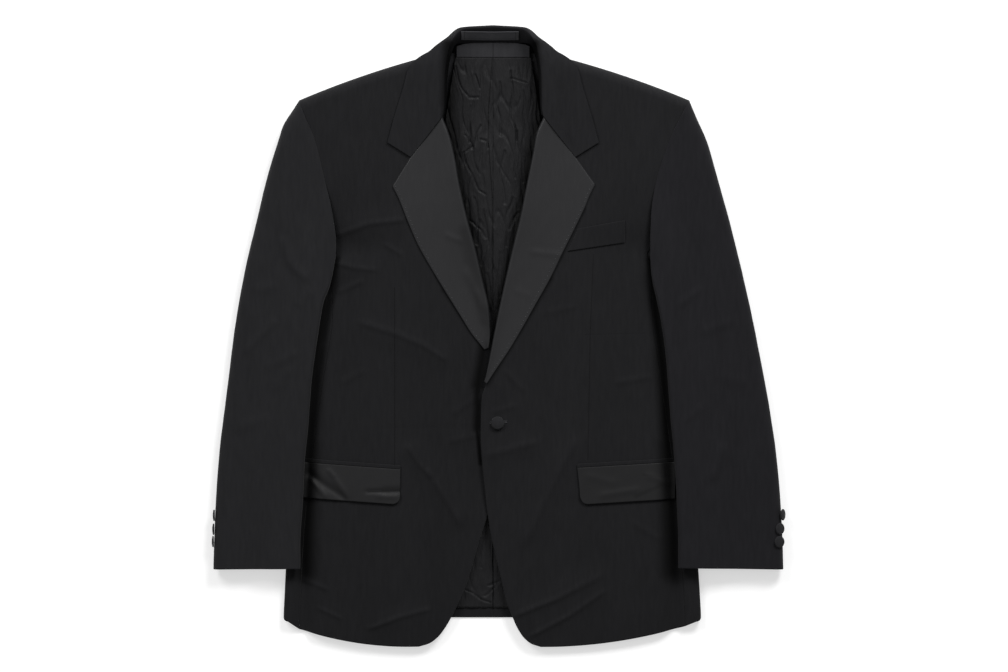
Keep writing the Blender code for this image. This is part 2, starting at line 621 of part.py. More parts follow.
def collar_face(along, across):
    """Points of the collar's outer face. along runs from the notch on the wearer's right (-1) past the
    centre back (0) to the other notch (1), and across from the neck seam (0) over the crease to the edge."""
    face = np.zeros((len(along), len(across), 3))
    for i, where in enumerate(along):
        station = columns_at(COLLAR_STATIONS, [1 - abs(where)])[0]
        sign = 1 if where >= 0 else -1
        side = "left" if where >= 0 else "right"
        knots = station[1:].reshape(5, 3).copy()
        knots[:, 0] = CENTRE_X + sign * knots[:, 0]
        over_front = station[0]
        for k in (2, 3, 4):
            if over_front > 0:
                on_front = float(front_height(side, knots[k][0], knots[k][1])) + knots[k][2]
                knots[k][2] = on_front * over_front + knots[k][2] * (1 - over_front)
        straight = np.stack([np.interp(across, COLLAR_MARKS, knots[:, c]) for c in range(3)], axis=1)
        rounded = np.stack([spline(COLLAR_MARKS, knots[:, c], across) for c in range(3)], axis=1)
        mixed = straight * over_front + rounded * (1 - over_front)
        mixed[:, 2] = rounded[:, 2]
        face[i] = mixed
    return face


def make_collar():
    face = collar_face(np.linspace(-1, 1, 33), COLLAR_ACROSS)
    towards = 1 if grid_normals(face)[2, 10, 2] < 0 else -1
    return sheet("collar", face, WOOL_WALL, towards, "wool_collar")


def make_hanger_loop():
    along = np.linspace(HANGER_LOOP["from"], HANGER_LOOP["to"], 7)
    face = collar_face(along, np.linspace(HANGER_LOOP["low"], HANGER_LOOP["high"], 3))
    normals = grid_normals(face)
    up = 1 if normals[..., 2].mean() > 0 else -1
    return sheet("hanger_loop", face + normals * up * HANGER_LOOP["lift"], LOOP_WALL, -up, "wool_loop")


# ---------------------------------------------------------------- lining, pockets and buttons


def lining_z(x, y):
    table = np.array(LINING_SHAPE, float)
    hollow = spline(table[:, 0], table[:, 2], y)
    rise = spline(table[:, 0], table[:, 3], y)
    z = LINING_HEIGHT + rise * smoothstep(np.abs(x - CENTRE_X) / hollow) ** 1.5
    for centre, half_width, height, wave, shift in CRINKLES:
        swing = centre + CRINKLE_SWING * np.sin((y + shift) / wave * 2 * math.pi)
        strength = 0.65 + 0.35 * np.sin((y - shift) / (wave * 0.7) * 2 * math.pi)
        z = z + height * strength * np.exp(-(((x - swing) / half_width) ** 2))
    return z


def make_lining(side):
    sign = -1 if side == "right" else 1
    table = np.array(LINING_SHAPE, float)
    ys = np.linspace(LINING_BOTTOM_Y, LINING_TOP_Y, 21)
    face = np.zeros((len(ys), 8, 3))
    for i, y in enumerate(ys):
        half = float(spline(table[:, 0], table[:, 1], [y])[0])
        xs = CENTRE_X + sign * np.linspace(SEAM_GAP / 2, half, 8)
        face[i, :, 0], face[i, :, 1] = xs, y
        face[i, :, 2] = lining_z(xs, np.full(8, y)) + LINING_RISE * fade("lining rises over facing", y)
    return sheet(f"lining_{side}", face, LINING_WALL, down(face), "lining_back")


def make_neck_facing():
    spec = NECK_FACING
    face = []
    for up_strip in np.linspace(0, 1, 3):
        row = []
        for out in np.linspace(-spec["half_width"], spec["half_width"], 11):
            top_y = spec["top_y"] - spec["round"] * (out / spec["half_width"]) ** 2
            y = spec["bottom_y"] + (top_y - spec["bottom_y"]) * up_strip
            rise = spec["rise"] * smoothstep(abs(out) / spec["rise_width"]) ** 1.5
            row.append((CENTRE_X + out, y, spec["height"] + rise + spec["slope"] * up_strip))
        face.append(row)
    face = np.array(face)
    return sheet("neck_facing", face, LINING_WALL, down(face), "wool_facing")


def make_flap(side):
    """The satin flap and the narrow wool jet above it."""
    spec = FLAPS[side]
    length = abs(spec["rear"] - spec["front"])
    direction = math.copysign(1, spec["rear"] - spec["front"])
    along = np.concatenate([[0, 1.5, 4.5, FLAP_CORNER], np.linspace(24, length, 7)])

    def strip(name, offset_top, height, corner, lift, finish):
        face = []
        for inset in along:
            top = spec["top_front"] + (spec["top_rear"] - spec["top_front"]) * inset / length + offset_top
            t = max(1 - inset / FLAP_CORNER, 0) if corner else 0
            bottom = top - height + FLAP_CORNER * (1 - math.sqrt(1 - t * t))
            x = spec["front"] + direction * inset
            row = []
            for part in np.linspace(0, 1, 4 if corner else 2):
                y = top + (bottom - top) * part
                row.append((x, y, float(front_height(side, x, y)) + lift + FLAP_HANG * part * corner))
            face.append(row)
        face = np.array(face)
        sheet(name, face, POCKET_WALL, down(face), finish)

    strip(f"flap_{side}", 0.0, spec["height"], 1, FLAP_LIFT, "satin_flap")
    strip(f"jet_{side}", JET_HEIGHT + SEAM_GAP, JET_HEIGHT, 0, JET_LIFT, "wool_jet")


def make_welt():
    length = WELT["outer"] - WELT["inner"]
    face = []
    for part in np.linspace(0, 1, 3):
        row = []
        for t in np.linspace(0, 1, 5):
            top_y = WELT["top_inner"] + (WELT["top_outer"] - WELT["top_inner"]) * t
            y = top_y - WELT["height"] * part
            x = WELT["inner"] - WELT["slant"] * part * (1 - t) + length * t
            row.append((x, y, float(front_height("left", x, y)) + WELT["lift"]))
        face.append(row)
    face = np.array(face)
    return sheet("breast_welt", face, POCKET_WALL, down(face), "wool_welt")


def button(name, centre, axis, diameter, height):
    """A cloth-covered button: a disc with a domed face and a rounded edge."""
    axis = np.array(axis, float) / np.linalg.norm(axis)
    helper = np.array([0, 1.0, 0])
    first = np.cross(axis, helper)
    first /= np.linalg.norm(first)
    second = np.cross(axis, first)
    radius = diameter / 2
    sides = BUTTON_SIDES
    points = []
    for out, up in BUTTON_PROFILE:
        for k in range(sides):
            angle = 2 * math.pi * k / sides
            ring = first * math.cos(angle) + second * math.sin(angle)
            points.append(np.array(centre) + ring * radius * out + axis * height * up)
    points.append(np.array(centre, float))
    points.append(np.array(centre) + axis * height)
    faces = []
    for r in range(len(BUTTON_PROFILE) - 1):
        for k in range(sides):
            n = (k + 1) % sides
            faces.append((r * sides + k, r * sides + n, (r + 1) * sides + n, (r + 1) * sides + k))
    low, high, last = len(points) - 2, len(points) - 1, (len(BUTTON_PROFILE) - 1) * sides
    for k in range(sides):
        n = (k + 1) % sides
        faces.append((low, n, k))
        faces.append((high, last + k, last + n))
    return add_object(name, points, faces, "wool_button", 40)


def make_buttons():
    x, y = FRONT_BUTTON["x"], FRONT_BUTTON["y"]
    under = float(front_height("left", x, y)) + FRONT_BUTTON["gap"]
    button("button_front", (x, y, under), (0, 0, 1), FRONT_BUTTON["diameter"], FRONT_BUTTON["height"])
    for side, spec in CUFF_BUTTONS.items():
        sign = -1 if side == "right" else 1
        table = np.array(SLEEVE_ROWS[side], float)
        tilt = math.radians(spec["tilt"])
        for number, y in enumerate(spec["ys"], 1):
            edge = float(np.interp(-y, -table[:, 1], table[:, 0]))
            tuck = CUFF_BUTTON["tuck"] * (1 - math.cos(tilt))
            level = CUFF_BUTTON["level"] + CUFF_BUTTON["climb"] * math.sin(tilt)
            centre = (edge + sign * (CUFF_BUTTON["gap"] - tuck), y, level)
            axis = (sign * math.cos(tilt), 0, math.sin(tilt))
            name = f"cuff_button_{side}_{number}"
            button(name, centre, axis, CUFF_BUTTON["diameter"], CUFF_BUTTON["height"])


def main():
    for old in list(bpy.data.objects):
        bpy.data.objects.remove(old, do_unlink=True)
    for side in ("right", "left"):
        make_back(side)
        make_side_panel(side)
        make_front(side)
        make_sleeve(side)
        make_lapel(side)
        make_lining(side)
        make_flap(side)
    make_collar()
    make_neck_facing()
    make_hanger_loop()
    make_welt()
    make_buttons()


main()
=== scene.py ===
import math

import bpy
import numpy as np
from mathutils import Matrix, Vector, noise


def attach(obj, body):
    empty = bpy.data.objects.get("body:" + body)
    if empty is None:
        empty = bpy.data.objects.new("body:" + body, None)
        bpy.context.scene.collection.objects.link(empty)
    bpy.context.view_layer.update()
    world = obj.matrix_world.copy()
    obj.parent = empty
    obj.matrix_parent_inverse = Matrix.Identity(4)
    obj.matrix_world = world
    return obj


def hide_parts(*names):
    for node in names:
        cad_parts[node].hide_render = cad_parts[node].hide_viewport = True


# A tuxedo jacket laid flat on its back with its fronts buttoned. Lengths in the tables are millimetres,
# X towards the wearer's left, Y towards the collar and Z up from the surface it lies on.
# "right" and "left" are the wearer's.
mm = 0.001
sides = {"right": -1, "left": 1}  # and which way each lies from the middle, along X

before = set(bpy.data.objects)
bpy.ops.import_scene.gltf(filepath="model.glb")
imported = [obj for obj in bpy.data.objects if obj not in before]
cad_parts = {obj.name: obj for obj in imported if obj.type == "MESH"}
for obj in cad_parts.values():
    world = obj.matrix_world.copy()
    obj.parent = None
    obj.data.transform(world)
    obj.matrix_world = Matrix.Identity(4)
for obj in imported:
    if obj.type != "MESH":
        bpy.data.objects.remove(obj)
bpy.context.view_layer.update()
print("frame loaded:", len(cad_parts), "nodes")


def putObject(name, data):
    made = bpy.data.objects.new(name, data)
    bpy.context.scene.collection.objects.link(made)
    return made


def put(tree, kind, inputs=None, **settings):
    # a node; each input is a value, or the socket that feeds it
    made = tree.nodes.new(kind)
    for key, value in settings.items():
        setattr(made, key, value)
    for key, value in (inputs or {}).items():
        if isinstance(value, bpy.types.NodeSocket):
            tree.links.new(value, made.inputs[key])
        else:
            made.inputs[key].default_value = value
    return made


# Camera, light and floor. The camera looks straight down from far off, as for a flat lay.
studio = {
    "cameraHeight": 6.0,
    "pictureWidth": 1.3104,  # metres of floor across the picture
    "aim": (0.0052, 0.0007),
    "sensorWidth": 36,
    "farClip": 60,
    "skyStrengths": (0.25, 0.5),  # at the horizon and overhead
    "lights": (
        # watts, disc width, distance, degrees from overhead, degrees round from X
        (92.0, 1.3, 3.2, 52.0, 62.0), (54.0, 1.4, 3.2, 52.0, 132.0),
    ),
    "floorHalf": 4.0,
    "floorDrop": 0.0006,  # below the cloth that lies on it
    "floorColour": (0.55, 0.55, 0.55, 1),
    "floorRoughness": 0.9,
    "floorSpecular": 0.1,
    "floorGlow": 0.5,
}


def makeStudio():
    scene = bpy.context.scene
    lens = bpy.data.cameras.new("topCamera")
    lens.sensor_width = studio["sensorWidth"]
    lens.lens = studio["sensorWidth"] * studio["cameraHeight"] / studio["pictureWidth"]
    lens.clip_end = studio["farClip"]
    scene.camera = putObject("topCamera", lens)
    scene.camera.location = (*studio["aim"], studio["cameraHeight"])
    scene.view_settings.view_transform = "Standard"

    for watts, width, distance, fromOverhead, azimuth in studio["lights"]:
        light = bpy.data.lights.new("softLight", "AREA")
        light.shape = "DISK"
        light.energy = watts
        light.size = width
        lamp = putObject("softLight", light)
        lean, turn = math.radians(fromOverhead), math.radians(azimuth)
        lamp.rotation_euler = (lean, 0, turn + math.pi / 2)
        across = distance * math.sin(lean)
        lamp.location = (across * math.cos(turn), across * math.sin(turn), distance * math.cos(lean))
        lamp.visible_camera = False

    scene.world = bpy.data.worlds.new("softSky")
    scene.world.use_nodes = True
    tree = scene.world.node_tree
    sky = tree.nodes["Background"]
    sky.inputs["Color"].default_value = (1, 1, 1, 1)
    climb = put(tree, "ShaderNodeSeparateXYZ", {0: put(tree, "ShaderNodeTexCoord").outputs["Generated"]})
    level, overhead = studio["skyStrengths"]
    strength = put(tree, "ShaderNodeMapRange",
                   {"Value": climb.outputs["Z"], "To Min": level, "To Max": overhead})
    tree.links.new(strength.outputs[0], sky.inputs["Strength"])

    mesh = bpy.data.meshes.new("studioFloor")
    half, drop = studio["floorHalf"], studio["floorDrop"]
    mesh.from_pydata([(-half, -half, -drop), (half, -half, -drop), (half, half, -drop), (-half, half, -drop)],
                     [], [(0, 1, 2, 3)])
    paper = bpy.data.materials.new("palePaper")
    paper.use_nodes = True
    shader = paper.node_tree.nodes["Principled BSDF"]
    shader.inputs["Base Color"].default_value = studio["floorColour"]
    shader.inputs["Roughness"].default_value = studio["floorRoughness"]
    shader.inputs["Specular IOR Level"].default_value = studio["floorSpecular"]
    shader.inputs["Emission Color"].default_value = (1, 1, 1, 1)
    shader.inputs["Emission Strength"].default_value = studio["floorGlow"]
    mesh.materials.append(paper)
    putObject("studioFloor", mesh)


makeStudio()
print("studio ready")


# Curves, grids and noise.
def splineAt(knots, values, at):
    # Smooth and without overshoot. values is one row of numbers, or a row for each point of at.
    knots, values, at = (np.asarray(a, float) for a in (knots, values, at))
    steps = np.diff(knots)
    slopes = np.diff(values, axis=-1) / steps
    tangents = np.zeros_like(values)
    tangents[..., 0], tangents[..., -1] = slopes[..., 0], slopes[..., -1]
    before, after = slopes[..., :-1], slopes[..., 1:]
    same = before * after > 0
    tangents[..., 1:-1] = np.where(same, 2 * before * after / np.where(same, before + after, 1), 0)
    span = np.clip(np.searchsorted(knots, at, side="right") - 1, 0, len(steps) - 1)
    t = np.clip((at - knots[span]) / steps[span], 0, 1)

    def pick(table, index):
        return table[index] if table.ndim == 1 else np.take_along_axis(table, index[:, None], 1)[:, 0]

    return (
        (2 * t**3 - 3 * t**2 + 1) * pick(values, span)
        + (t**3 - 2 * t**2 + t) * steps[span] * pick(tangents, span)
        + (3 * t**2 - 2 * t**3) * pick(values, span + 1)
        + (t**3 - t**2) * steps[span] * pick(tangents, span + 1)
    )


def ease(t):
    t = np.clip(t, 0, 1)
    return t * t * (3 - 2 * t)


def tableAt(rows, fractions):
    # every column of a table whose rows are evenly spaced
    table = np.array(rows, float)
    knots = np.linspace(0, 1, len(table))
    return np.stack([splineAt(knots, table[:, c], fractions) for c in range(table.shape[1])], axis=1)


def columnAt(rows, column, at):
    # one column of a table against its first column
    table, at = np.array(rows, float), np.asarray(at, float)
    return splineAt(table[:, 0], table[:, column], at.ravel()).reshape(at.shape)


def withRims(marks, length, rim=1.4):
    # adds a few marks just inside each end, where the cloth's edge rounds over
    marks = np.asarray(marks, float)
    span = marks[-1] - marks[0]
    near = np.array([0.25, 0.6, 1.0]) * rim / length * span
    inside = marks[(marks > marks[0] + near[-1] * 1.3) & (marks < marks[-1] - near[-1] * 1.3)]
    return np.concatenate([[marks[0]], marks[0] + near, inside, marks[-1] - near[::-1], [marks[-1]]])


def evenMarks(count, length, rim=1.4):
    # marks from 0 to 1: how many, and the length of cloth that they go over
    return withRims(np.linspace(0, 1, count), length, rim)


def gridNormals(grid):
    normals = np.cross(np.gradient(grid, axis=0), np.gradient(grid, axis=1))
    return normals / np.maximum(np.linalg.norm(normals, axis=2, keepdims=True), 1e-9)


def unevenness(x, y, size, stretch=1.0, turn=0.0, seed=0.0):
    # Soft noise from -1 to 1. Its patches are size across and size times stretch along.
    x, y = np.broadcast_arrays(np.asarray(x, float), np.asarray(y, float))
    c, s = math.cos(math.radians(turn)), math.sin(math.radians(turn))
    u = ((x * c + y * s) / size).ravel()
    v = ((-x * s + y * c) / (size * stretch)).ravel()
    found = [noise.noise(Vector((a, b, seed))) for a, b in zip(u.tolist(), v.tolist())]
    return np.array(found).reshape(x.shape)


def creaseHeight(x, y, creases, sharp=2.0):
    total = np.zeros(np.broadcast(x, y).shape)
    for fromX, fromY, toX, toY, halfWidth, height in creases:
        alongX, alongY = toX - fromX, toY - fromY
        length = math.hypot(alongX, alongY)
        t = ((x - fromX) * alongX + (y - fromY) * alongY) / length**2
        off = np.abs((x - fromX) * alongY - (y - fromY) * alongX) / length
        ends = ease((t + 0.15) / 0.3) * ease((1.15 - t) / 0.3)
        total = total + height * ends * np.exp(-((off / halfWidth) ** sharp))
    return total


# Changes over the laid jacket: where each starts, and how far on from there it is whole.
fades = {
    # along y
    "overlap": (130, -90), "frontNoise": (330, -60), "besideSleeve": (95, -50),
    "besideOverlapTop": (20, -40), "besideOverlapFoot": (-240, 60),
    "frontSeam": (0, 100), "frontSeamEnd": (106, 12), "backSeamEnd": (98, 14),
    "sidePanelHem": (-300, -70), "sidePanelArmhole": (40, 70),
    "backUnderCollar": (330, 16), "liningTop": (362, -14), "liningRise": (270, 70),
    # outwards from the middle of the back
    "backBesideCollar": (118, -20), "backShoulder": (78, 16),
    # parts of the back's length, of the sleeve's length and width, and of the flap's height
    "backSlope": (0.3, 0.7), "sleeveTopLift": (0, 0.2), "armholeBow": (0, 0.3), "sleeveTopCalm": (0, 0.04),
    "innerEdgeLift": (0.42, 0.36), "flapCreases": (0, 0.25),
    # marks round the sleeve
    "sleeveCreases": (-0.3, 0.5), "sleeveCreasesEnd": (3.1, -0.8),
}


def fade(name, at):
    start, span = fades[name]
    return ease((at - start) / span)


# The body: heights of the fronts over the surface, and the lines of the side and the armhole.
body = {
    "wall": 1.6,
    "centreX": -9.0,
    "foldRadius": 6.0,
    "frontSeamFromFold": 21.0,
    "frontSeamAtTop": 8.0,
    "backSeamFromFold": 45.0,
    "shoulder": 306.0,  # the y of the shoulder's end
    "shoulderRadius": 14.0,
    "overlapHalf": {"right": -2.0, "left": 2.5},
    "overlapWidth": 75.0,
    "fineShare": 2.1,  # of the fine creases' heights
    "unevenness": (
        # height, size, stretch, turn, seed
        (0.5, 46, 1.5, 30, {"right": 3.0, "left": 8.0}), (0.22, 17, 1.8, -25, {"right": 23.0, "left": 28.0}),
    ),
    "heightFractions": (0.0, 0.15, 0.5, 1.0),
    "heights": (
        # y, edge, near, middle, centre
        (-402, 9.5, 10.0, 10.5, 9.5), (-365, 12.0, 12.0, 12.5, 11.0), (-290, 12.0, 13.5, 14.5, 12.5),
        (-200, 12.0, 14.0, 16.5, 13.0), (-110, 12.0, 14.5, 17.5, 13.5), (-20, 12.0, 15.5, 20.0, 15.5),
        (50, 12.0, 17.5, 22.5, 18.5), (105, 12.0, 19.0, 25.0, 22.0), (150, 20.0, 27.0, 28.0, 26.0),
        (200, 27.0, 31.0, 31.0, 30.0), (250, 30.0, 33.0, 33.0, 33.0), (300, 31.0, 34.0, 35.0, 36.0),
        (370, 31.0, 35.0, 37.0, 38.0),
    ),
    "edge": {
        "right": (
            (-402, -282), (-365, -281), (-343, -280), (-278, -277), (-213, -272), (-148, -264), (-83, -255),
            (-18, -244), (47, -233), (97, -225), (125, -213), (158, -217), (198, -226), (252, -239),
            (288, -254), (306, -261), (370, -275),
        ),
        "left": (
            (-402, 262), (-365, 261), (-343, 260), (-278, 256), (-213, 251), (-148, 243), (-83, 234),
            (-18, 224), (47, 213), (97, 202), (125, 195), (158, 196), (198, 202), (252, 219),
            (288, 236), (306, 246), (370, 262),
        ),
    },
}

# Sleeves: a top sleeve that turns under at both edges, and an under sleeve between them.
sleeve = {
    "rows": {
        "right": (
            # outer x, outer y, inner x, inner y, thickness at the outer side, at the inner side
            (-262, 306, -214, 106, 33, 9), (-277, 281, -218, 82, 31, 9.5), (-287, 255, -222, 63, 29, 10),
            (-303, 203, -229, 44, 27, 11), (-317, 145, -234, 15, 25, 11), (-332, 80, -239, -20, 24, 11),
            (-344, 11, -244, -59, 23, 11), (-356, -83, -248, -115, 22, 11), (-364, -148, -253, -163, 22, 12),
            (-369, -213, -256, -219, 22, 12), (-371, -265, -259, -265, 22, 12),
            (-372, -302, -259, -301, 22, 12),
        ),
        "left": (
            (247, 306, 196, 106, 33, 9), (257, 281, 197, 84, 31, 9.5), (268, 255, 199, 66, 29, 10),
            (283, 203, 203, 47, 27, 11), (299, 145, 209, 15, 25, 11), (315, 80, 214, -20, 24, 11),
            (330, 11, 218, -63, 23, 11), (348, -83, 222, -115, 22, 11), (358, -148, 226, -163, 22, 12),
            (364, -213, 229, -219, 22, 12), (367, -265, 231, -265, 22, 12), (368, -302, 231, -300, 22, 12),
        ),
    },
    "armholeGap": -0.5,
    "lift": 14.6,  # of the inner edge, which lies on the front
    "underarmLift": 2.5,
    "armholeLow": 125,
    "rowMarks": (190, 560),
    "topMarks": ((-0.3, 1, 14), (1, 2, 34), (2, 3, 11)),  # round the sleeve: from, to and how many
    "topEnd": (3, 3.2, 5),
    "seamGap": 0.005,  # in marks, between the top sleeve and the under sleeve
    "markStep": 0.02,
    "unevenness": ((0.7, 40, 2.2, 12, 5.0), (0.25, 15, 1.6, 30, 11.0)),  # height, size, stretch, turn, seed
    "creaseShare": 1.5,
    "creases": {
        "right": (
            # from x, y to x, y, half width, height
            (-278, 281, -281, 127, 7, 1.6), (-281, 127, -273, 95, 6, 1.4), (-273, 95, -250, 75, 6, 1.2),
            (-331, -21, -308, 4, 5, 1.0), (-308, 4, -290, 21, 5, 1.0), (-273, -42, -290, -70, 5, 0.9),
            (-262, 40, -244, 60, 5, 0.8), (-318, 60, -290, 66, 6, 0.8), (-340, -120, -300, -105, 7, 0.6),
            (-300, -40, -262, -20, 5, 0.8),
        ),
        "left": (
            (290, -141, 274, -185, 6, 1.2), (262, 240, 258, 120, 8, 1.2), (300, 20, 262, 6, 6, 0.8),
            (230, 40, 262, 62, 5, 0.8), (318, -60, 282, -52, 6, 0.7), (238, -110, 262, -90, 5, 0.6),
        ),
    },
}

# Soft ridges of the fronts: from x, y to x, y, half width, height. The first table is in the solids too.
mainCreases = {
    "right": (
        (-205, 138, -125, 152, 16, 2.0), (-215, 92, -160, 84, 15, 2.0), (-180, 16, -65, -30, 17, 2.2),
        (-120, -140, -88, -180, 16, 2.0), (-88, -180, -50, -244, 16, 2.0), (-168, -378, -92, -356, 15, 1.6),
    ),
    "left": (
        (-18, -154, 48, -136, 16, 1.8), (98, -135, 34, -266, 18, 2.4), (22, -362, 130, -310, 16, 2.2),
        (40, -388, 136, -332, 14, 1.8),
    ),
}
fineCreases = {
    "right": (
        (-212, 131, -170, 146, 3.6, 0.9), (-170, 146, -124, 151, 3.2, 0.8), (-214, 96, -188, 89, 3.4, 0.8),
        (-188, 89, -160, 86, 3.0, 0.6), (-209, 58, -178, 72, 3.4, 0.7), (-181, 18, -135, 4, 3.6, 0.9),
        (-135, 4, -98, -12, 3.4, 0.8), (-98, -12, -70, -30, 3.2, 0.7), (-121, -141, -104, -166, 3.4, 0.8),
        (-104, -166, -88, -182, 3.2, 0.8), (-88, -182, -52, -242, 3.6, 0.8),
        (-170, -379, -130, -364, 3.6, 0.9),
        (-130, -364, -92, -354, 3.4, 0.7), (-258, -314, -224, -328, 3.4, 0.6),
        (-157, -119, -27, -119, 2.6, -0.15),
        (-236, -352, -206, -366, 3.2, 0.5), (-150, 120, -128, 106, 3.2, 0.5), (-60, -100, -30, -78, 3.6, 0.6),
        (-66, -136, -30, -128, 3.4, 0.5), (-205, -60, -176, -44, 4.0, 0.5),
    ),
    "left": (
        (-18, -154, 48, -137, 3.0, 0.8), (98, -134, 74, -180, 3.6, 0.8), (74, -180, 34, -266, 4.0, 0.9),
        (19, -362, 74, -340, 3.8, 0.9), (74, -340, 131, -310, 3.8, 0.8), (39, -389, 90, -362, 3.4, 0.8),
        (90, -362, 136, -330, 3.4, 0.7), (58, 30, 100, 40, 4.0, 0.4), (150, -60, 196, -52, 4.0, 0.45),
        (6, -44, 30, -70, 3.6, 0.5), (-10, -98, 20, -90, 3.2, 0.45), (170, -240, 206, -262, 4.0, 0.4),
    ),
}


def edgeX(side, y):
    return columnAt(body["edge"][side], 1, y)


def seamX(side, y):
    # the seam between the front and the side panel
    least = body["frontSeamAtTop"]
    inset = least + (body["frontSeamFromFold"] - least) * (1 - fade("frontSeam", np.asarray(y)))
    return edgeX(side, y) - sides[side] * inset * (1 - fade("frontSeamEnd", np.asarray(y)))


# Where the front sinks beside what lies on it: the sleeve's inner edge, and the other front's edge.
gutter = {
    "besideSleeve": 8.0, "sleeveOff": 4.0, "sleeveWide": 11.0,
    "besideOverlap": 4.0, "overlapOff": 6.0, "overlapWide": 11.0,
    "overlapYs": (-300, -260, -195, -130, -82, -42, -6),
    "overlapXs": (-2, -9, -20, -25, -24, -9, -3),
}

# Painted shade: lines where the colour is darkened to stand for shade, beside the sleeves and the overlap,
# down the neck, and inside the collar.
paintedShadeLines = {
    "right": (
        # start x, y, end x, y, half width; the first six are beside the sleeve
        (-213, 100, -225, 47, 9), (-225, 47, -237, -17, 14), (-237, -17, -243, -82, 18),
        (-243, -82, -247, -140, 18), (-247, -140, -251, -264, 22), (-251, -264, -252, -305, 24),
        (-21, -14, -29, -63, 13), (-29, -63, -30, -120, 9), (-30, -120, -25, -165, 5),
    ),
    "left": (
        (195, 100, 201, 47, 9), (201, 47, 209, -17, 14), (209, -17, 214, -82, 16), (214, -82, 217, -140, 17),
        (217, -140, 222, -264, 22), (222, -264, 223, -305, 24),
    ),
    "neck": (
        (-65, 372, -66, 290, 17), (-66, 290, -59, 235, 17), (-59, 235, -53, 200, 14),
        (-53, 200, -32, 115, 11),
        (-32, 115, -14, 36, 8), (56, 372, 57, 290, 20), (57, 290, 42, 235, 17), (42, 235, 35, 200, 14),
        (35, 200, 17, 118, 11), (17, 118, -1, 38, 8),
    ),
    "stand": (
        (-67, 378, -68, 300, 13), (-68, 300, -70, 283, 10), (45, 378, 45, 300, 13), (45, 300, 48, 283, 10),
    ),
}


def gutterDepth(side, x, y):
    rows = np.array(sleeve["rows"][side], float)
    inner = rows[np.argsort(rows[:, 3])]
    lineX = np.interp(y, inner[:, 3], inner[:, 2])
    off = (lineX - x) * sides[side] - gutter["sleeveOff"]
    depth = gutter["besideSleeve"] * np.exp(-((off / gutter["sleeveWide"]) ** 2)) * fade("besideSleeve", y)
    if side == "right":
        edge = np.interp(y, gutter["overlapYs"], gutter["overlapXs"])
        beside = np.exp(-(((x - edge + gutter["overlapOff"]) / gutter["overlapWide"]) ** 2))
        beside = beside * fade("besideOverlapTop", y) * fade("besideOverlapFoot", y)
        depth = depth + gutter["besideOverlap"] * beside
    return depth


def frontTop(side, x, y):
    # height of the front's outer face at (x, y), with its creases
    x, y = np.broadcast_arrays(np.asarray(x, float), np.asarray(y, float))
    levels = np.stack([columnAt(body["heights"], c, y.ravel()) for c in range(1, 5)], axis=1)
    edge = edgeX(side, y.ravel())
    t = np.clip((x.ravel() - edge) / (body["centreX"] - edge), 0, 1)
    z = splineAt(body["heightFractions"], levels, t).reshape(x.shape)
    nearCentre = ease(1 - np.abs(x - body["centreX"]) / body["overlapWidth"])
    z = z + body["overlapHalf"][side] * nearCentre * fade("overlap", y)
    z = z + creaseHeight(x, y, mainCreases[side]) + body["fineShare"] * creaseHeight(x, y, fineCreases[side])
    z = z - gutterDepth(side, x, y)
    calm = fade("frontNoise", y)
    for height, size, stretch, turn, seed in body["unevenness"]:
        z = z + calm * height * unevenness(x, y, size, stretch, turn, seed[side])
    return z


# A piece of the jacket from points and places on the flat cloth, both in millimetres.
def newPiece(name, points, faces, finish, places=None):
    mesh = bpy.data.meshes.new(name)
    mesh.from_pydata((np.array(points) * mm).tolist(), [], faces)
    if places is not None:
        corners = np.empty(len(mesh.loops), np.int32)
        mesh.loops.foreach_get("vertex_index", corners)
        mesh.uv_layers.new(name="cloth").data.foreach_set("uv", (places * mm)[corners].ravel())
    mesh.shade_smooth()
    mesh.materials.append(finish)
    return putObject(name, mesh)


# Cloth: a thin wall with rounded edges, built from a grid of points on its outer face.
# Its wall goes down from there, or to the side that inward gives.
def clothMesh(name, face, wall, finish, inward=None, normals=None, rim=1.3):
    normals = gridNormals(face) if normals is None else normals
    inward = faceDown(face) if inward is None else inward
    inner = normals * inward
    across = np.linalg.norm(np.diff(face, axis=1), axis=2)
    along = np.linalg.norm(np.diff(face, axis=0), axis=2)
    u = np.concatenate([np.zeros((len(face), 1)), np.cumsum(across, axis=1)], axis=1)
    v = np.concatenate([np.zeros((1, face.shape[1])), np.cumsum(along, axis=0)], axis=0)
    fromEdge = np.minimum(np.minimum(u, u[:, -1:] - u), np.minimum(v, v[-1:] - v))
    half = wall / 2 * np.sqrt(1 - (1 - np.clip(fromEdge / rim, 0, 1)) ** 2)
    middle = face + inner * wall / 2

    rows, columns = face.shape[:2]
    top = np.arange(rows * columns).reshape(rows, columns)
    under = top.copy()
    count = (rows - 2) * (columns - 2)
    under[1:-1, 1:-1] = rows * columns + np.arange(count).reshape(rows - 2, columns - 2)

    def bothSides(outer, lower):
        # the rim is shared, so the underside has only the points inside it
        return np.concatenate([outer.reshape(rows * columns, -1), lower[1:-1, 1:-1].reshape(count, -1)])

    def quads(index, turned):
        corners = [index[:-1, :-1], index[1:, :-1], index[1:, 1:], index[:-1, 1:]]
        return np.stack([c.ravel() for c in corners[:: -1 if turned else 1]], axis=1)

    points = bothSides(middle - inner * half[..., None], middle + inner * half[..., None])
    faces = np.concatenate([quads(top, inward > 0), quads(under, inward < 0)])
    places = np.dstack([u, v])
    return newPiece(name, points, faces.tolist(), finish, bothSides(places, places))


def layCloth(piece, node):
    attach(piece, "root")
    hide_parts(node)


def faceDown(face):
    # which way along its normals the wall of a grid with its outer face up goes
    return -1 if gridNormals(face)[..., 2].mean() > 0 else 1


def wallWay(face, point, axis=2, outwards=1):
    # the same for a grid that folds over, from one point whose outer face looks outwards along an axis
    return 1 if gridNormals(face)[(*point, axis)] * outwards < 0 else -1


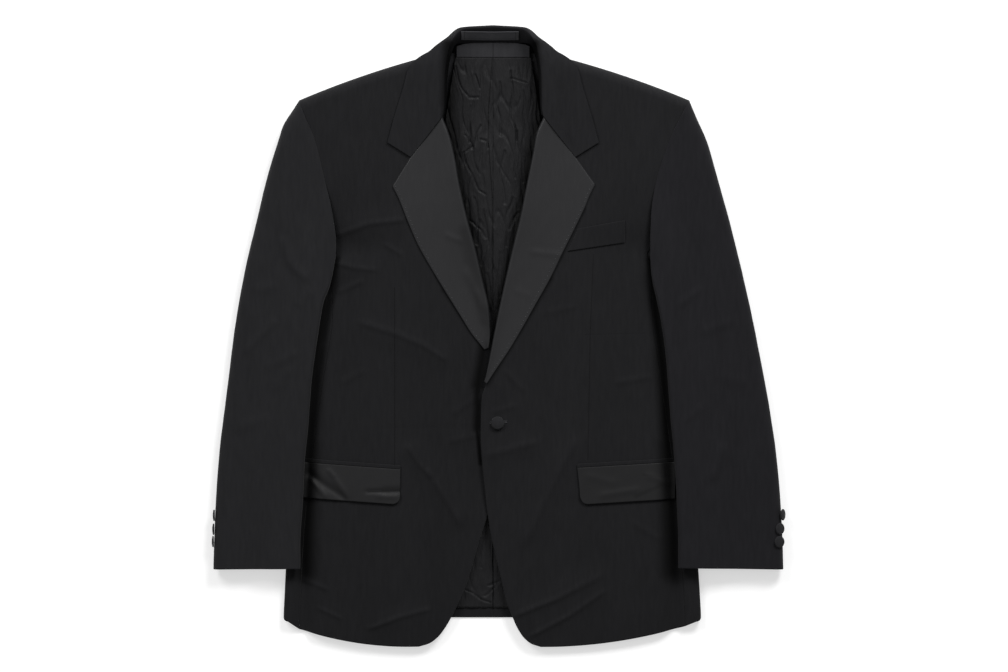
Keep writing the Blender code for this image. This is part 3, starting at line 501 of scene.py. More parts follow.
def levelEnd(face):
    # normals whose last row is level, where the cloth turns over the shoulder
    normals = gridNormals(face)
    normals[-1, :, 2] = 0
    normals[-1] /= np.maximum(np.linalg.norm(normals[-1], axis=1, keepdims=True), 1e-6)
    return normals


# Materials. Effects that several cloths share are node groups.
def maths(tree, operation, *values):
    return put(tree, "ShaderNodeMath", dict(enumerate(values)), operation=operation).outputs[0]


def vectorMaths(tree, operation, *values):
    made = put(tree, "ShaderNodeVectorMath", dict(enumerate(values)), operation=operation)
    return made.outputs["Value" if operation in ("DOT_PRODUCT", "DISTANCE") else "Vector"]


number, vector = "NodeSocketFloat", "NodeSocketVector"


def newGroup(name, outputs, **inputs):
    # a number for an input is its first value, and an input of None is a place
    group = bpy.data.node_groups.new(name, "ShaderNodeTree")
    for label, value in inputs.items():
        kind = vector if value is None else number
        socket = group.interface.new_socket(label, in_out="INPUT", socket_type=kind)
        if value is not None:
            socket.default_value = value
    for label in outputs:
        group.interface.new_socket(label, in_out="OUTPUT", socket_type=number)
    return group, group.nodes.new("NodeGroupInput").outputs, group.nodes.new("NodeGroupOutput").inputs


def stretchPlace(group, given):
    drawn = put(group, "ShaderNodeCombineXYZ", {0: 1.0, 1: given["Stretch"], 2: 1.0})
    return vectorMaths(group, "DIVIDE", given["Place"], drawn.outputs[0])


def makeTwillGroup():
    # slanting ribs of a twill, broken a little along their length
    group, given, out = newGroup("twillRibs", ["Height"], Place=None, Ribs=900.0, Slope=0.6, Break=0.4)
    parts = put(group, "ShaderNodeSeparateXYZ", {0: given["Place"]})
    slant = maths(group, "ADD", parts.outputs[1], maths(group, "MULTIPLY", parts.outputs[0], given["Slope"]))
    turns = maths(group, "MULTIPLY", given["Ribs"], 2 * math.pi)
    wave = maths(group, "SINE", maths(group, "MULTIPLY", slant, turns))
    rib = put(group, "ShaderNodeMapRange", {0: wave, 1: -1.0, 2: 1.0})
    specks = put(group, "ShaderNodeTexNoise", {"Vector": given["Place"], "Scale": 1400.0, "Detail": 1.0})
    broken = put(group, "ShaderNodeMix", {0: given["Break"], 2: rib.outputs[0], 3: specks.outputs[0]})
    group.links.new(broken.outputs[0], out["Height"])
    return group


def makePatchGroup():
    # broad soft patches and finer ones, for tone and for how the cloth lies
    group, given, out = newGroup(
        "softPatches", ["Broad", "Fine"], Place=None, Size=0.06, Finer=0.012, Stretch=1.0,
    )
    drawn = stretchPlace(group, given)
    for label, size, detail in (("Broad", "Size", 2.0), ("Fine", "Finer", 3.0)):
        scale = maths(group, "DIVIDE", 1.0, given[size])
        patches = put(group, "ShaderNodeTexNoise",
                      {"Vector": drawn, "Scale": scale, "Detail": detail, "Roughness": 0.55})
        group.links.new(patches.outputs[0], out[label])
    return group


def makeSeamGroup():
    # a line between two points of the laid cloth, as a mask
    group, given, out = newGroup("seamLine", ["Line"], Place=None, Start=None, End=None, Width=0.001)
    flat = vectorMaths(group, "MULTIPLY", given["Place"], (1.0, 1.0, 0.0))
    line = vectorMaths(group, "SUBTRACT", given["End"], given["Start"])
    place = vectorMaths(group, "SUBTRACT", flat, given["Start"])
    dots = [vectorMaths(group, "DOT_PRODUCT", a, line) for a in (place, line)]
    part = put(group, "ShaderNodeMath", {0: dots[0], 1: dots[1]}, operation="DIVIDE", use_clamp=True)
    onLine = put(group, "ShaderNodeVectorMath", {0: line, "Scale": part.outputs[0]}, operation="SCALE")
    off = vectorMaths(group, "DISTANCE", place, onLine.outputs[0])
    mask = put(group, "ShaderNodeMapRange", {0: off, 1: given["Width"], 2: 0.0, 3: 0.0, 4: 1.0},
               interpolation_type="SMOOTHSTEP")
    group.links.new(mask.outputs[0], out["Line"])
    return group


def makeCrinkleGroup():
    # crushed creases that run mostly along the cloth
    group, given, out = newGroup("crinkles", ["Height"], Place=None, Size=0.010, Stretch=5.0)
    drawn, scale = stretchPlace(group, given), maths(group, "DIVIDE", 1.0, given["Size"])
    warp = put(group, "ShaderNodeTexNoise", {"Vector": drawn, "Scale": scale, "Detail": 2.0})
    folded = maths(group, "ABSOLUTE", maths(group, "SUBTRACT", warp.outputs[0], 0.5))
    ridge = put(group, "ShaderNodeMapRange", {0: folded, 1: 0.0, 2: 0.16, 3: 1.0, 4: 0.0},
                interpolation_type="SMOOTHSTEP")
    group.links.new(ridge.outputs[0], out["Height"])
    return group


twillRibs = makeTwillGroup()
softPatches = makePatchGroup()
seamLine = makeSeamGroup()
crinkles = makeCrinkleGroup()


def placeGroup(tree, group, **inputs):
    return put(tree, "ShaderNodeGroup", inputs, node_tree=group).outputs


# The cloths: colours are linear. seamsAndShadeLines are lines on the laid piece, in millimetres: seams, and
# painted shade lines of depth 0 beside edges and in folds.
woolLook = {
    "shadow": (0.0067, 0.0067, 0.0073, 1), "light": (0.0113, 0.0113, 0.0123, 1), "roughness": (0.74, 0.9),
    "specular": 0.05, "sheen": 0.05, "ribs": 1100.0, "ribDepth": 0.00008, "lieDepth": 0.0003,
}
satinLook = {
    "shadow": (0.0108, 0.0108, 0.0117, 1), "light": (0.0152, 0.0152, 0.0163, 1), "roughness": (0.34, 0.46),
    "specular": 0.28, "sheen": 0.0, "ribs": 1500.0, "ribDepth": 0.00003, "lieDepth": 0.0004,
}
flapLook = {
    "shadow": (0.0093, 0.0093, 0.0098, 1), "light": (0.0137, 0.0137, 0.0143, 1), "roughness": (0.42, 0.52),
    "specular": 0.14, "sheen": 0.0, "ribs": 1500.0, "ribDepth": 0.00003, "lieDepth": 0.0003,
}
liningLook = {
    "shadow": (0.0062, 0.0062, 0.0067, 1), "light": (0.0122, 0.0122, 0.0131, 1), "roughness": (0.46, 0.58),
    "specular": 0.1, "sheen": 0.0, "ribs": 1800.0, "ribDepth": 0.00002, "lieDepth": 0.0006,
}


patchLook = {"Finer": 0.004, "Stretch": 6.0}
lieStrength, ribStrength = 0.6, 0.5
ribTone = 0.3  # how far a rib goes from the darker tone to the lighter one
# seamShade darkens seams and painted shade lines; hollowShade is how dark the painted shade gets
seamShade, hollowShade = 0.35, 0.12  # shares of the cloth's darker tone
toneSpan = {"From Min": 0.6, "From Max": 1.4, "To Min": 0.15, "To Max": 0.6}  # from the patches
roughSpan = {"From Min": 0.3, "From Max": 0.7}


def clothFinish(name, look, tint=(1, 1, 1), seamsAndShadeLines=(), shades=(), crinkle=0.0, crinkleSize=0.004):
    made = bpy.data.materials.new(name)
    made.use_nodes = True
    tree = made.node_tree
    shader = tree.nodes["Principled BSDF"]
    coords = put(tree, "ShaderNodeTexCoord")
    onCloth, inSpace = coords.outputs["UV"], coords.outputs["Object"]
    ribs = placeGroup(tree, twillRibs, Place=onCloth, Ribs=look["ribs"])[0]
    patches = placeGroup(tree, softPatches, Place=inSpace, **patchLook)
    dark, pale = ([a * b for a, b in zip(look[tone], (*tint, 1))] for tone in ("shadow", "light"))

    def raised(height, distance, normal=None, strength=1.0, invert=False):
        inputs = {"Height": height, "Distance": distance, "Strength": strength}
        if normal:
            inputs["Normal"] = normal
        return put(tree, "ShaderNodeBump", inputs, invert=invert).outputs[0]

    def lineMask(startX, startY, endX, endY, halfWidth):
        ends = {"Start": (startX * mm, startY * mm, 0), "End": (endX * mm, endY * mm, 0)}
        return placeGroup(tree, seamLine, Place=inSpace, Width=halfWidth * mm, **ends)[0]

    def darker(mask, colour, share):
        deep = [a * share for a in dark[:3]] + [1]
        return put(tree, "ShaderNodeMix", {0: mask, 6: colour, 7: deep}, data_type="RGBA").outputs[2]

    mixed = maths(tree, "ADD", patches["Broad"], patches["Fine"])
    tone = put(tree, "ShaderNodeMapRange", {"Value": mixed, **toneSpan})
    weave = maths(tree, "MULTIPLY_ADD", ribs, ribTone, tone.outputs[0])
    painted = put(tree, "ShaderNodeMix", {0: weave, 6: dark, 7: pale}, data_type="RGBA").outputs[2]
    bump = raised(patches["Fine"], look["lieDepth"], strength=lieStrength)
    if crinkle:
        bump = raised(placeGroup(tree, crinkles, Place=inSpace, Size=crinkleSize)[0], crinkle, bump)
    # a seam darkens its line; a line of depth 0 is only painted shade
    for *line, depth, shadow in seamsAndShadeLines:
        mask = lineMask(*line)
        bump = raised(mask, depth * mm, bump, invert=True)
        painted = darker(maths(tree, "MULTIPLY", mask, shadow), painted, seamShade)
    bump = raised(ribs, look["ribDepth"], bump, strength=ribStrength)
    # painted shade: the colour darkened along the shade lines, where shade falls
    paintedShadeMask = None
    for line in shades:
        mask = lineMask(*line)
        paintedShadeMask = maths(tree, "MAXIMUM", paintedShadeMask, mask) if paintedShadeMask else mask
    if paintedShadeMask:
        painted = darker(paintedShadeMask, painted, hollowShade)
    smooth, rough = look["roughness"]
    roughness = put(tree, "ShaderNodeMapRange",
                    {"Value": patches["Fine"], **roughSpan, "To Min": rough, "To Max": smooth})
    tree.links.new(painted, shader.inputs["Base Color"])
    tree.links.new(roughness.outputs[0], shader.inputs["Roughness"])
    tree.links.new(bump, shader.inputs["Normal"])
    shader.inputs["Specular IOR Level"].default_value = look["specular"]
    if look["sheen"]:
        shader.inputs["Sheen Weight"].default_value = look["sheen"]
        shader.inputs["Sheen Roughness"].default_value = 0.5
    return made


finishes = {
    # the fronts and side panels have painted shade beside the sleeves and beside the overlap
    "frontRight": clothFinish("woolFrontRight", woolLook, shades=paintedShadeLines["right"], seamsAndShadeLines=(
        # start x, y, end x, y, half width, depth, shadow; lines of depth 0 are only painted shadow beside the
        # lapel's outer edge
        (-136.5, 63, -136.5, -167, 0.9, 0.4, 0.5), (-121, 153, -72, 60, 5, 0.0, 0.5),
        (-72, 60, -22, -14, 7, 0.0, 0.7),
    )),
    "frontLeft": clothFinish("woolFrontLeft", woolLook, shades=paintedShadeLines["left"], seamsAndShadeLines=(
        (121, 106, 117, 10, 0.9, 0.35, 0.4), (117, 10, 114, -160, 0.9, 0.35, 0.4),
        (110, 2, 190, 4, 1.6, 0.1, 0.1),
        # painted shadow beside the left lapel's outer edge
        (109, 165, 65, 75, 5, 0.0, 0.5), (65, 75, -17, -61, 8, 0.0, 0.7),
    )),
    "wool": clothFinish("woolBody", woolLook),
    "sideRight": clothFinish("woolSideRight", woolLook, shades=paintedShadeLines["right"][:6]),
    "sideLeft": clothFinish("woolSideLeft", woolLook, shades=paintedShadeLines["left"]),
    # the two sleeve tints are a lit and a shaded copy of the same wool: painted light
    "sleeveRight": clothFinish("woolSleeveRight", woolLook, tint=(1.3, 1.3, 1.3)),
    "sleeveLeft": clothFinish("woolSleeveLeft", woolLook, tint=(1.08, 1.06, 1.12)),
    # the collar's sheen is painted into a lighter colour (painted sheen), and the inside of its stand has
    # painted shade
    "collar": clothFinish(
        "woolCollar", {**woolLook, "sheen": 0.0}, tint=(1.17, 1.17, 1.17), shades=paintedShadeLines["stand"],
    ),
    # painted shade along the right lapel's lower roll
    "lapelRight": clothFinish("lapelSatinRight", satinLook, seamsAndShadeLines=((-46, 135, -17, 20, 15, 0.0, 0.45),)),
    "lapelLeft": clothFinish("lapelSatinLeft", satinLook),
    # painted shade beside the sleeve, and painted shade lines in the flap's folds
    "flapRight": clothFinish("flapSatinRight", flapLook, shades=paintedShadeLines["right"][:6], seamsAndShadeLines=(
        (-250, -176, -200, -209, 5.5, 0.0, 0.45), (-171, -201.5, -152, -201, 1.8, 0.0, 0.7),
        (-152, -201, -127, -199.6, 3.6, 0.0, 0.8),
    )),
    # a darker copy of the flap satin (painted shade), with painted shade beside the sleeve and in its folds
    "flapLeft": clothFinish(
        "flapSatinLeft", flapLook, tint=(0.88, 0.88, 0.88), shades=paintedShadeLines["left"],
        seamsAndShadeLines=((176, -207, 216, -190, 4.5, 0.0, 0.4), (186, -179, 222, -183, 3.0, 0.0, 0.3)),
    ),
    # painted shade down both sides of the neck opening, under the lapels' roll
    "lining": clothFinish(
        "liningSatin", liningLook, shades=paintedShadeLines["neck"], crinkle=0.0002, seamsAndShadeLines=(
            (-120, -351, 110, -351, 0.9, 0.3, 0.5), (-10, 362, -15, 290, 1.2, 0.3, 0.85),
            (-15, 290, -15, 250, 1.2, 0.3, 0.85), (-15, 250, -10, 180, 1.2, 0.3, 0.85),
            (-10, 180, -9, -352, 1.1, 0.3, 0.8),
        ),
    ),
    # the facing's colour is lightened to make up for the collar's shadow on it: painted light
    "facing": clothFinish(
        "woolFacing", woolLook, tint=(2.3, 2.3, 2.3), seamsAndShadeLines=((-9, 360, -9, 382, 0.9, 0.3, 0.7),),
    ),
    # a lighter braid, and lighter still as painted light where the collar shades it
    "loop": clothFinish("woolLoop", woolLook, tint=(4.6, 4.6, 4.6), seamsAndShadeLines=(
        (-47, 385.6, 21, 385.6, 0.7, 0.2, 0.6), (-47, 393, 21, 393, 0.7, 0.2, 0.6),
        (-46.5, 385, -46.5, 394, 0.8, 0.2, 0.7), (20.5, 385, 20.5, 394, 0.8, 0.2, 0.7),
    )),
    "button": clothFinish("buttonCloth", woolLook, tint=(1.6, 1.6, 1.6)),
    "thread": clothFinish("silkThread", satinLook, tint=(2.4, 2.4, 2.5)),
}
print("cloth finishes made:", len(finishes))


# Fronts, side panels and back.
frontPanel = {
    "rows": {
        "right": (
            # side y, edge x, edge y
            (-380, -105, -402.5), (-373, -92, -398.5), (-363, -81, -390.5), (-350, -71.5, -378.5),
            (-334, -62, -362), (-310, -45, -325), (-260, -26, -262), (-215, -10, -215), (-165, 6, -165),
            (-110, 9, -112), (-55, 1, -60), (0, -12, -10), (50, -24, 47), (90, -34, 90), (125, -43, 125),
            (165, -53, 165), (200, -62, 205), (240, -69, 250), (275, -82, 290), (294, -86, 330),
            (306, -91, 364),
        ),
        "left": (
            (-376, 53, -403), (-369, 41, -399), (-360, 31.5, -391.5), (-348, 23.5, -380), (-334, 16.5, -365),
            (-310, 9, -345), (-260, -3, -295), (-215, -13, -250), (-165, -20, -195), (-110, -25, -130),
            (-68, -24, -82), (-30, -9, -42), (5, -3, -6), (50, 10, 47), (90, 19, 90), (125, 26, 122),
            (165, 36, 165), (200, 44, 205), (240, 52, 250), (275, 64, 290), (294, 68, 330), (306, 73, 364),
        ),
    },
    "hemSag": -7.0,
    "hemPart": 0.08,  # of the length, where the hem sags
    "shoulderBow": 3.5,
    "shoulderPart": 0.15,
    "length": 640,
    "rimSize": (680, 210),  # along and across, for the marks at its rims
    "rowCount": 340,
    "columnCount": 100,
}
sidePanel = {
    "ys": (-370, 110),
    "rowCount": 130,
    "hemDrop": {"right": 10, "left": 6},
    "foldYs": (-365, 97),
    "underFront": 1.8,  # how far it starts under the front at the armhole
    "armholeRise": 6,
    "armholeDrop": 12,
    "backHemRise": 4,
    "leastHeight": 4,
    "frontMarks": (6, 16),  # how many, over what width
    "foldMarks": 13,
    "backMarks": (5, 38),
    "foldPoint": (40, 14),
}
backPanel = {
    "top": ((0, 378), (40, 373), (66, 362), (84, 358), (100, 358), (121, 353.5), (186, 332), (252, 306)),
    "ySteps": ((-365, 98, 60), (102, 288, 46)),  # from, to and how many rows
    "columns": (26, 230),
    "collarRoom": 3.8,  # rise over the collar's edge behind the neck
}


def shoulderTurn(distance):
    t = np.clip(1 - distance / body["shoulderRadius"], 0, 1)
    return np.sqrt(np.maximum(1 - t * t, 0))


def shoulderRows(top, radius):
    # marks that crowd together where the cloth turns over the shoulder
    return top - radius * (1 - np.sin(np.radians(np.linspace(0, 90, 9))))


def makeFront(side):
    rimLength, rimWidth = frontPanel["rimSize"]
    turned = shoulderRows(1, body["shoulderRadius"] / frontPanel["length"])
    upFront = np.concatenate([np.linspace(0, turned[0], frontPanel["rowCount"])[:-1], turned])
    upFront = withRims(upFront, rimLength)
    rows = tableAt(frontPanel["rows"][side], upFront)
    across = evenMarks(frontPanel["columnCount"], rimWidth)
    sideXY = np.stack([seamX(side, rows[:, 0]), rows[:, 0]], axis=1)[:, None]
    plan = sideXY + (rows[:, None, 1:3] - sideXY) * across[None, :, None]
    arch = 4 * across * (1 - across)
    hem = np.clip(1 - upFront / frontPanel["hemPart"], 0, 1)
    top = np.clip(1 - (1 - upFront) / frontPanel["shoulderPart"], 0, 1)
    bow = frontPanel["hemSag"] * hem**2 + frontPanel["shoulderBow"] * top**2
    plan[..., 1] += bow[:, None] * arch[None, :]
    height = frontTop(side, plan[..., 0], plan[..., 1])
    distance = np.linalg.norm(plan - plan[-1:], axis=2)
    middle = height[-1:] / 2
    turnedIn = middle + (height - middle) * shoulderTurn(distance)
    face = np.dstack([plan, np.where(distance < body["shoulderRadius"], turnedIn, height)])
    name = f"front{side.title()}"
    piece = clothMesh(name, face, body["wall"], finishes[name], normals=levelEnd(face))
    layCloth(piece, f"front_{side}")


def backHalfWidth(side, y):
    toFold = np.abs(edgeX(side, y) - body["centreX"])
    return toFold - body["backSeamFromFold"] * (1 - fade("backSeamEnd", np.asarray(y)))


def makeSidePanel(side):
    outwards, radius = sides[side], body["foldRadius"]
    low, high = sidePanel["ys"]
    face = []
    for y in withRims(np.linspace(low, high, sidePanel["rowCount"]), high - low):
        hem, arm = fade("sidePanelHem", y), fade("sidePanelArmhole", y)
        start = float(edgeX(side, np.clip(y, *sidePanel["foldYs"]))) - outwards * radius
        under = sidePanel["underFront"] * arm
        seamY = y - sidePanel["hemDrop"][side] * hem + sidePanel["armholeRise"] * arm
        seam = float(seamX(side, seamY)) - outwards * under
        parts = evenMarks(*sidePanel["frontMarks"])[:-4]
        x = seam + (start - seam) * parts
        atY = seamY + (y - seamY) * parts
        least = sidePanel["leastHeight"]
        least = least + (2 * radius - least) * parts**2
        top = np.maximum(frontTop(side, x, atY) - under * (1 - parts), least)
        section = list(zip(x, atY, top))
        edgeZ = float(np.maximum(frontTop(side, start, y), 2 * radius)) / 2
        hemRise = sidePanel["backHemRise"] * hem
        for angle in np.radians(np.linspace(90, -90, sidePanel["foldMarks"]))[:-1]:
            foldY = y + hemRise * (1 if angle < 0 else 1 - math.sin(angle))
            foldX = start + outwards * radius * math.cos(angle)
            section.append((foldX, foldY, edgeZ * (1 + math.sin(angle))))
        endY = y - sidePanel["armholeDrop"] * arm
        end = body["centreX"] + outwards * float(backHalfWidth(side, endY))
        for part in evenMarks(*sidePanel["backMarks"])[3:]:
            section.append((start + (end - start) * part, y + hemRise + (endY - y) * part, 0.0))
        face.append(section)
    face = np.array(face, float)
    inward = wallWay(face, sidePanel["foldPoint"], 0, outwards)
    piece = clothMesh(f"sidePanel{side.title()}", face, body["wall"], finishes[f"side{side.title()}"], inward)
    layCloth(piece, f"side_panel_{side}")


def makeBack(side):
    low, shoulderY = backPanel["ySteps"][0][0], body["shoulder"]
    turned = shoulderRows(shoulderY, body["shoulderRadius"])
    sideYs = np.concatenate([*(np.linspace(*span) for span in backPanel["ySteps"]), turned])
    sideYs = withRims(sideYs, shoulderY - low)[:, None]
    parts = evenMarks(*backPanel["columns"])[None, :]
    topY = columnAt(backPanel["top"], 1, float(backHalfWidth(side, shoulderY)) * parts)
    y = sideYs + (topY - shoulderY) * fade("backSlope", (sideYs - low) / (shoulderY - low))
    out = backHalfWidth(side, sideYs.ravel())[:, None] * parts
    x = body["centreX"] + sides[side] * out
    overCollar = backPanel["collarRoom"] * fade("backUnderCollar", y) * fade("backBesideCollar", out)
    shoulder = frontTop(side, x, np.broadcast_to(topY, x.shape)) / 2
    rise = (1 - shoulderTurn(topY - y)) * (shoulder - overCollar) * fade("backShoulder", out)
    face = np.dstack([x, y, overCollar + np.maximum(rise, 0)])
    name = f"back{side.title()}"
    piece = clothMesh(name, face, body["wall"], finishes["wool"], -faceDown(face), levelEnd(face))
    layCloth(piece, f"back_{side}")


for side in sides:
    makeBack(side)
    makeSidePanel(side)
    makeFront(side)
print("body laid")


def sleeveRing(side, rows, marks):
    # Points round the sleeve: mark -1 to 0 is the lower quarter of the outer edge, 0 to 1 its upper quarter,
    # 1 to 2 the top, 2 to 3 the inner edge and 3 to 4 the underside.
    outerX, outerY, innerX, innerY, outerThick, innerThick, fraction = (rows[:, c : c + 1] for c in range(7))
    mark = np.asarray(marks, float)[None, :] + np.zeros_like(outerX)
    width = np.hypot(innerX - outerX, innerY - outerY)
    outerR, innerR = outerThick / 2, innerThick / 2
    lift = sleeve["lift"] + sleeve["underarmLift"] * (1 - fade("sleeveTopLift", fraction))
    outerZ, innerZ = outerR, innerR + lift
    quarter = mark * math.pi / 2
    turn = (2.5 - mark) * math.pi
    onTop = mark < 2
    part = np.where(onTop, mark - 1, 4 - mark)
    alongTop = outerR + (width - outerR - innerR) * part
    rise = fade("innerEdgeLift", alongTop / width)
    radius = outerR + (innerR - outerR) * part
    levelZ = outerZ + (innerZ - outerZ) * rise + radius * np.where(onTop, 1, -1)
    levelZ = levelZ + (outerR - radius) * (1 - rise) * np.where(mark > 2, -1, 0)
    atOuter, atInner = mark <= 1, (mark >= 2) & (mark <= 3)
    off = np.where(atOuter, outerR * (1 - np.cos(quarter)),
                   np.where(atInner, width - innerR + innerR * np.cos(turn), alongTop))
    z = np.where(atOuter, outerZ + outerR * np.sin(quarter),
                 np.where(atInner, innerZ + innerR * np.sin(turn), levelZ))
    across = off / width
    first = sleeve["rows"][side][0]
    armholeY = first[1] + (first[3] - first[1]) * across
    chordX = first[0] + (first[2] - first[0]) * across
    armholeX = edgeX(side, np.maximum(armholeY, sleeve["armholeLow"])) + sides[side] * sleeve["armholeGap"]
    bow = armholeX - chordX
    x = outerX + (innerX - outerX) * across + bow * (1 - fade("armholeBow", fraction))
    y = outerY + (innerY - outerY) * across
    return np.dstack([x, y, np.maximum(z, 0)])


def makeSleeve(side):
    fractions = evenMarks(*sleeve["rowMarks"])
    rows = np.column_stack([tableAt(sleeve["rows"][side], fractions), fractions])
    first = sleeve["rows"][side][0]
    chord = np.array([first[2] - first[0], first[3] - first[1]])
    acrossArmhole = np.array([chord[1], -chord[0], 0]) / np.linalg.norm(chord)
    start, split, gap = sleeve["topMarks"][0][0], sleeve["topEnd"][1], sleeve["seamGap"]
    topMarks = [np.linspace(*span)[:-1] for span in sleeve["topMarks"]]
    # marks 4 and -1 are the same line underneath, and the under sleeve has none on it
    roundMarks = {
        "top": np.concatenate([*topMarks, np.linspace(*sleeve["topEnd"])]),
        "under": np.concatenate([np.linspace(split + gap, 3.999, 20),
                                 np.linspace(-0.99, start - gap * 6, 10)]),
    }
    towards = -sides[side]
    for piece, marks in roundMarks.items():
        edgeMarks = [marks[0] + s for s in (0.004, 0.01)] if piece == "top" else []
        marks = np.concatenate([marks[:1], edgeMarks, marks[1:]])
        face = sleeveRing(side, rows, marks)
        step = sleeve["markStep"]
        around = sleeveRing(side, rows, marks + step) - sleeveRing(side, rows, marks - step)
        wrap = (marks > 3.98) | (marks < -0.98)
        around[:, wrap] = np.gradient(face, axis=1)[:, wrap]
        normals = np.cross(around, np.gradient(face, axis=0))
        normals[0] -= acrossArmhole * (normals[0] @ acrossArmhole)[:, None]
        normals /= np.linalg.norm(normals, axis=2, keepdims=True)
        if piece == "top":
            x, y = face[..., 0], face[..., 1]
            height = sleeve["creaseShare"] * creaseHeight(x, y, sleeve["creases"][side])
            for share, *patch in sleeve["unevenness"]:
                height += share * unevenness(x, y, *patch)
            calm = fade("sleeveCreases", marks) * fade("sleeveCreasesEnd", marks)
            height *= fade("sleeveTopCalm", fractions)[:, None] * calm[None, :]
            face = face - normals * towards * height[..., None]
        finish = finishes[f"sleeve{side.title()}"]
        made = clothMesh(f"{piece}Sleeve{side.title()}", face, body["wall"], finish, towards, normals)
        layCloth(made, f"{piece}_sleeve_{side}")


for side in sides:
    makeSleeve(side)
print("sleeves laid")


# Lapels in satin, and their hand-picked stitches.
lapel = {
    "wall": 1.6,
    "rollRadius": 3.5,
    "rollTurn": 160,  # degrees
    "rollLift": 5.0,
    "narrow": (25, 40),  # below these widths the roll turns and lifts less
    "gap": 0.6,
    "middle": 0.7,
    "tuck": ((2.4, 1.5), (1.8, 1.4), (1.2, 1.0), (0.6, 0.4)),  # under the collar: how far, and how deep
    "leastWidth": 0.3,
    "radiusShare": 0.3,  # the most that the roll takes of a narrow width
    "rollMarks": 10,
    "liftPower": 2.5,
    "rowMarks": (130, 360),
    "marks": (*np.linspace(0.04, 0.9, 24), 0.94, 0.97, 0.985, 0.995, 1),
    "flatPoint": (20, 20),
    "rows": {
        "right": (
            # roll x, roll y, middle x, middle y, outer x, outer y
            (-74, 283, -115.5, 230, -138.5, 193), (-66, 262, -107, 213, -131, 178),
            (-59, 235, -98, 191, -121, 153),
            (-53, 200, -85, 158, -107, 120), (-43, 155, -70, 121, -89, 88), (-32, 115, -54, 87, -72, 60),
            (-22, 72, -40, 51, -52, 28), (-14, 36, -27, 17, -37, 4), (-12, 5, -18, -2, -24, -12),
            (-14, -14, -17, -16, -20, -17),
        ),
        "left": (
            (56, 283, 96.8, 231.4, 122.5, 195), (47, 262, 91, 215, 116, 182), (42, 235, 83, 190, 109, 165),
            (35, 200, 70, 158, 97, 140), (26, 155, 57, 121, 81, 108), (17, 118, 43, 88, 65, 75),
            (7, 75, 28, 54, 47, 43), (-1, 38, 14, 18, 29, 11), (-8, 3, 2, -14, 11, -19),
            (-14, -28, -8, -39, -4, -41), (-20.5, -58, -19, -60, -17, -61),
        ),
    },
    "creases": {
        "right": ((-71, 132, -49, 123, 3.5, 0.8), (-45, 86, -19, 34, 6, 1.2), (-30, 60, -22, 20, 4, 0.7)),
        "left": ((39, 110, 81, 105, 3.5, 0.8), (20, 60, 40, 52, 4, 0.4)),
    },
}
stitch = {
    "inset": 2.8, "spacing": 6.0, "length": 2.0, "radius": 0.45,
    "bareRows": (6, 12),  # at the notch and at the foot
    "leastColumn": 12,
}


def lapelFace(side, rows):
    across = np.array(lapel["marks"])
    face = []
    for roll, middle, outer in rows.reshape(-1, 3, 2):
        width = np.linalg.norm(middle - roll) + lapel["leastWidth"]
        radius = min(lapel["rollRadius"], width * lapel["radiusShare"])
        fullTurn, fullLift = (min(1, width / narrow) for narrow in lapel["narrow"])
        turn = np.radians(90 - np.linspace(lapel["rollTurn"], 0, lapel["rollMarks"]) * fullTurn)
        outwards = (middle - roll) / width
        lift = lapel["rollLift"] * fullLift
        centre = roll + outwards * radius
        rollTop = float(frontTop(side, *centre)) + lapel["gap"] + lapel["wall"] + lift
        section = []
        for angle in turn:
            at = centre - outwards * radius * math.cos(angle)
            section.append((at[0], at[1], rollTop - radius + radius * math.sin(angle)))
        inner = across[:, None] <= lapel["middle"]
        at = np.where(
            inner,
            centre + (middle - centre) * across[:, None] / lapel["middle"],
            middle + (outer - middle) * (across[:, None] - lapel["middle"]) / (1 - lapel["middle"]),
        )
        top = frontTop(side, at[:, 0], at[:, 1]) + lapel["gap"] + lapel["wall"]
        top = top + lift * (1 - across) ** lapel["liftPower"]
        top += creaseHeight(at[:, 0], at[:, 1], lapel["creases"][side])
        section.extend(zip(at[:, 0], at[:, 1], top))
        face.append(section)
    return np.array(face)


def ringFaces(first, rings, around):
    # quads between rings of points that follow one another from the index first
    faces = []
    for ring in range(rings - 1):
        a = first + ring * around
        b = a + around
        faces.extend((a + k, a + (k + 1) % around, b + (k + 1) % around, b + k) for k in range(around))
    return faces


def stitchRow(name, path, ups, spec):
    # Short raised stitches along a path, each a small rounded bar.
    steps = np.linalg.norm(np.diff(path, axis=0), axis=1)
    walked = np.concatenate([[0], np.cumsum(steps)])

    def along(rows, at):
        return np.array([np.interp(at, walked, rows[:, c]) for c in range(3)])

    points, faces = [], []
    sidesRound, rings = 6, ((-0.5, 0.35), (-0.32, 0.9), (0.0, 1.0), (0.32, 0.9), (0.5, 0.35))
    for at in np.arange(spec["spacing"] / 2, walked[-1], spec["spacing"]):
        centre, up = along(path, at), along(ups, at)
        tangent = along(path, at + 1) - centre
        tangent /= max(np.linalg.norm(tangent), 1e-6)
        beside = np.cross(tangent, up)
        base = len(points)
        for forward, size in rings:
            sink = 0.5 - abs(forward) * 1.4
            for k in range(sidesRound):
                angle = 2 * math.pi * k / sidesRound
                ring = beside * math.cos(angle) + up * math.sin(angle)
                points.append(centre + tangent * forward * spec["length"] + up * sink * spec["radius"]
                              + ring * spec["radius"] * size)
        faces.extend(ringFaces(base, len(rings), sidesRound))
        faces.append(tuple(base + k for k in range(sidesRound))[::-1])
        faces.append(tuple(base + (len(rings) - 1) * sidesRound + k for k in range(sidesRound)))
    piece = newPiece(name, points, faces, finishes["thread"])
    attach(piece, "root")
    return piece


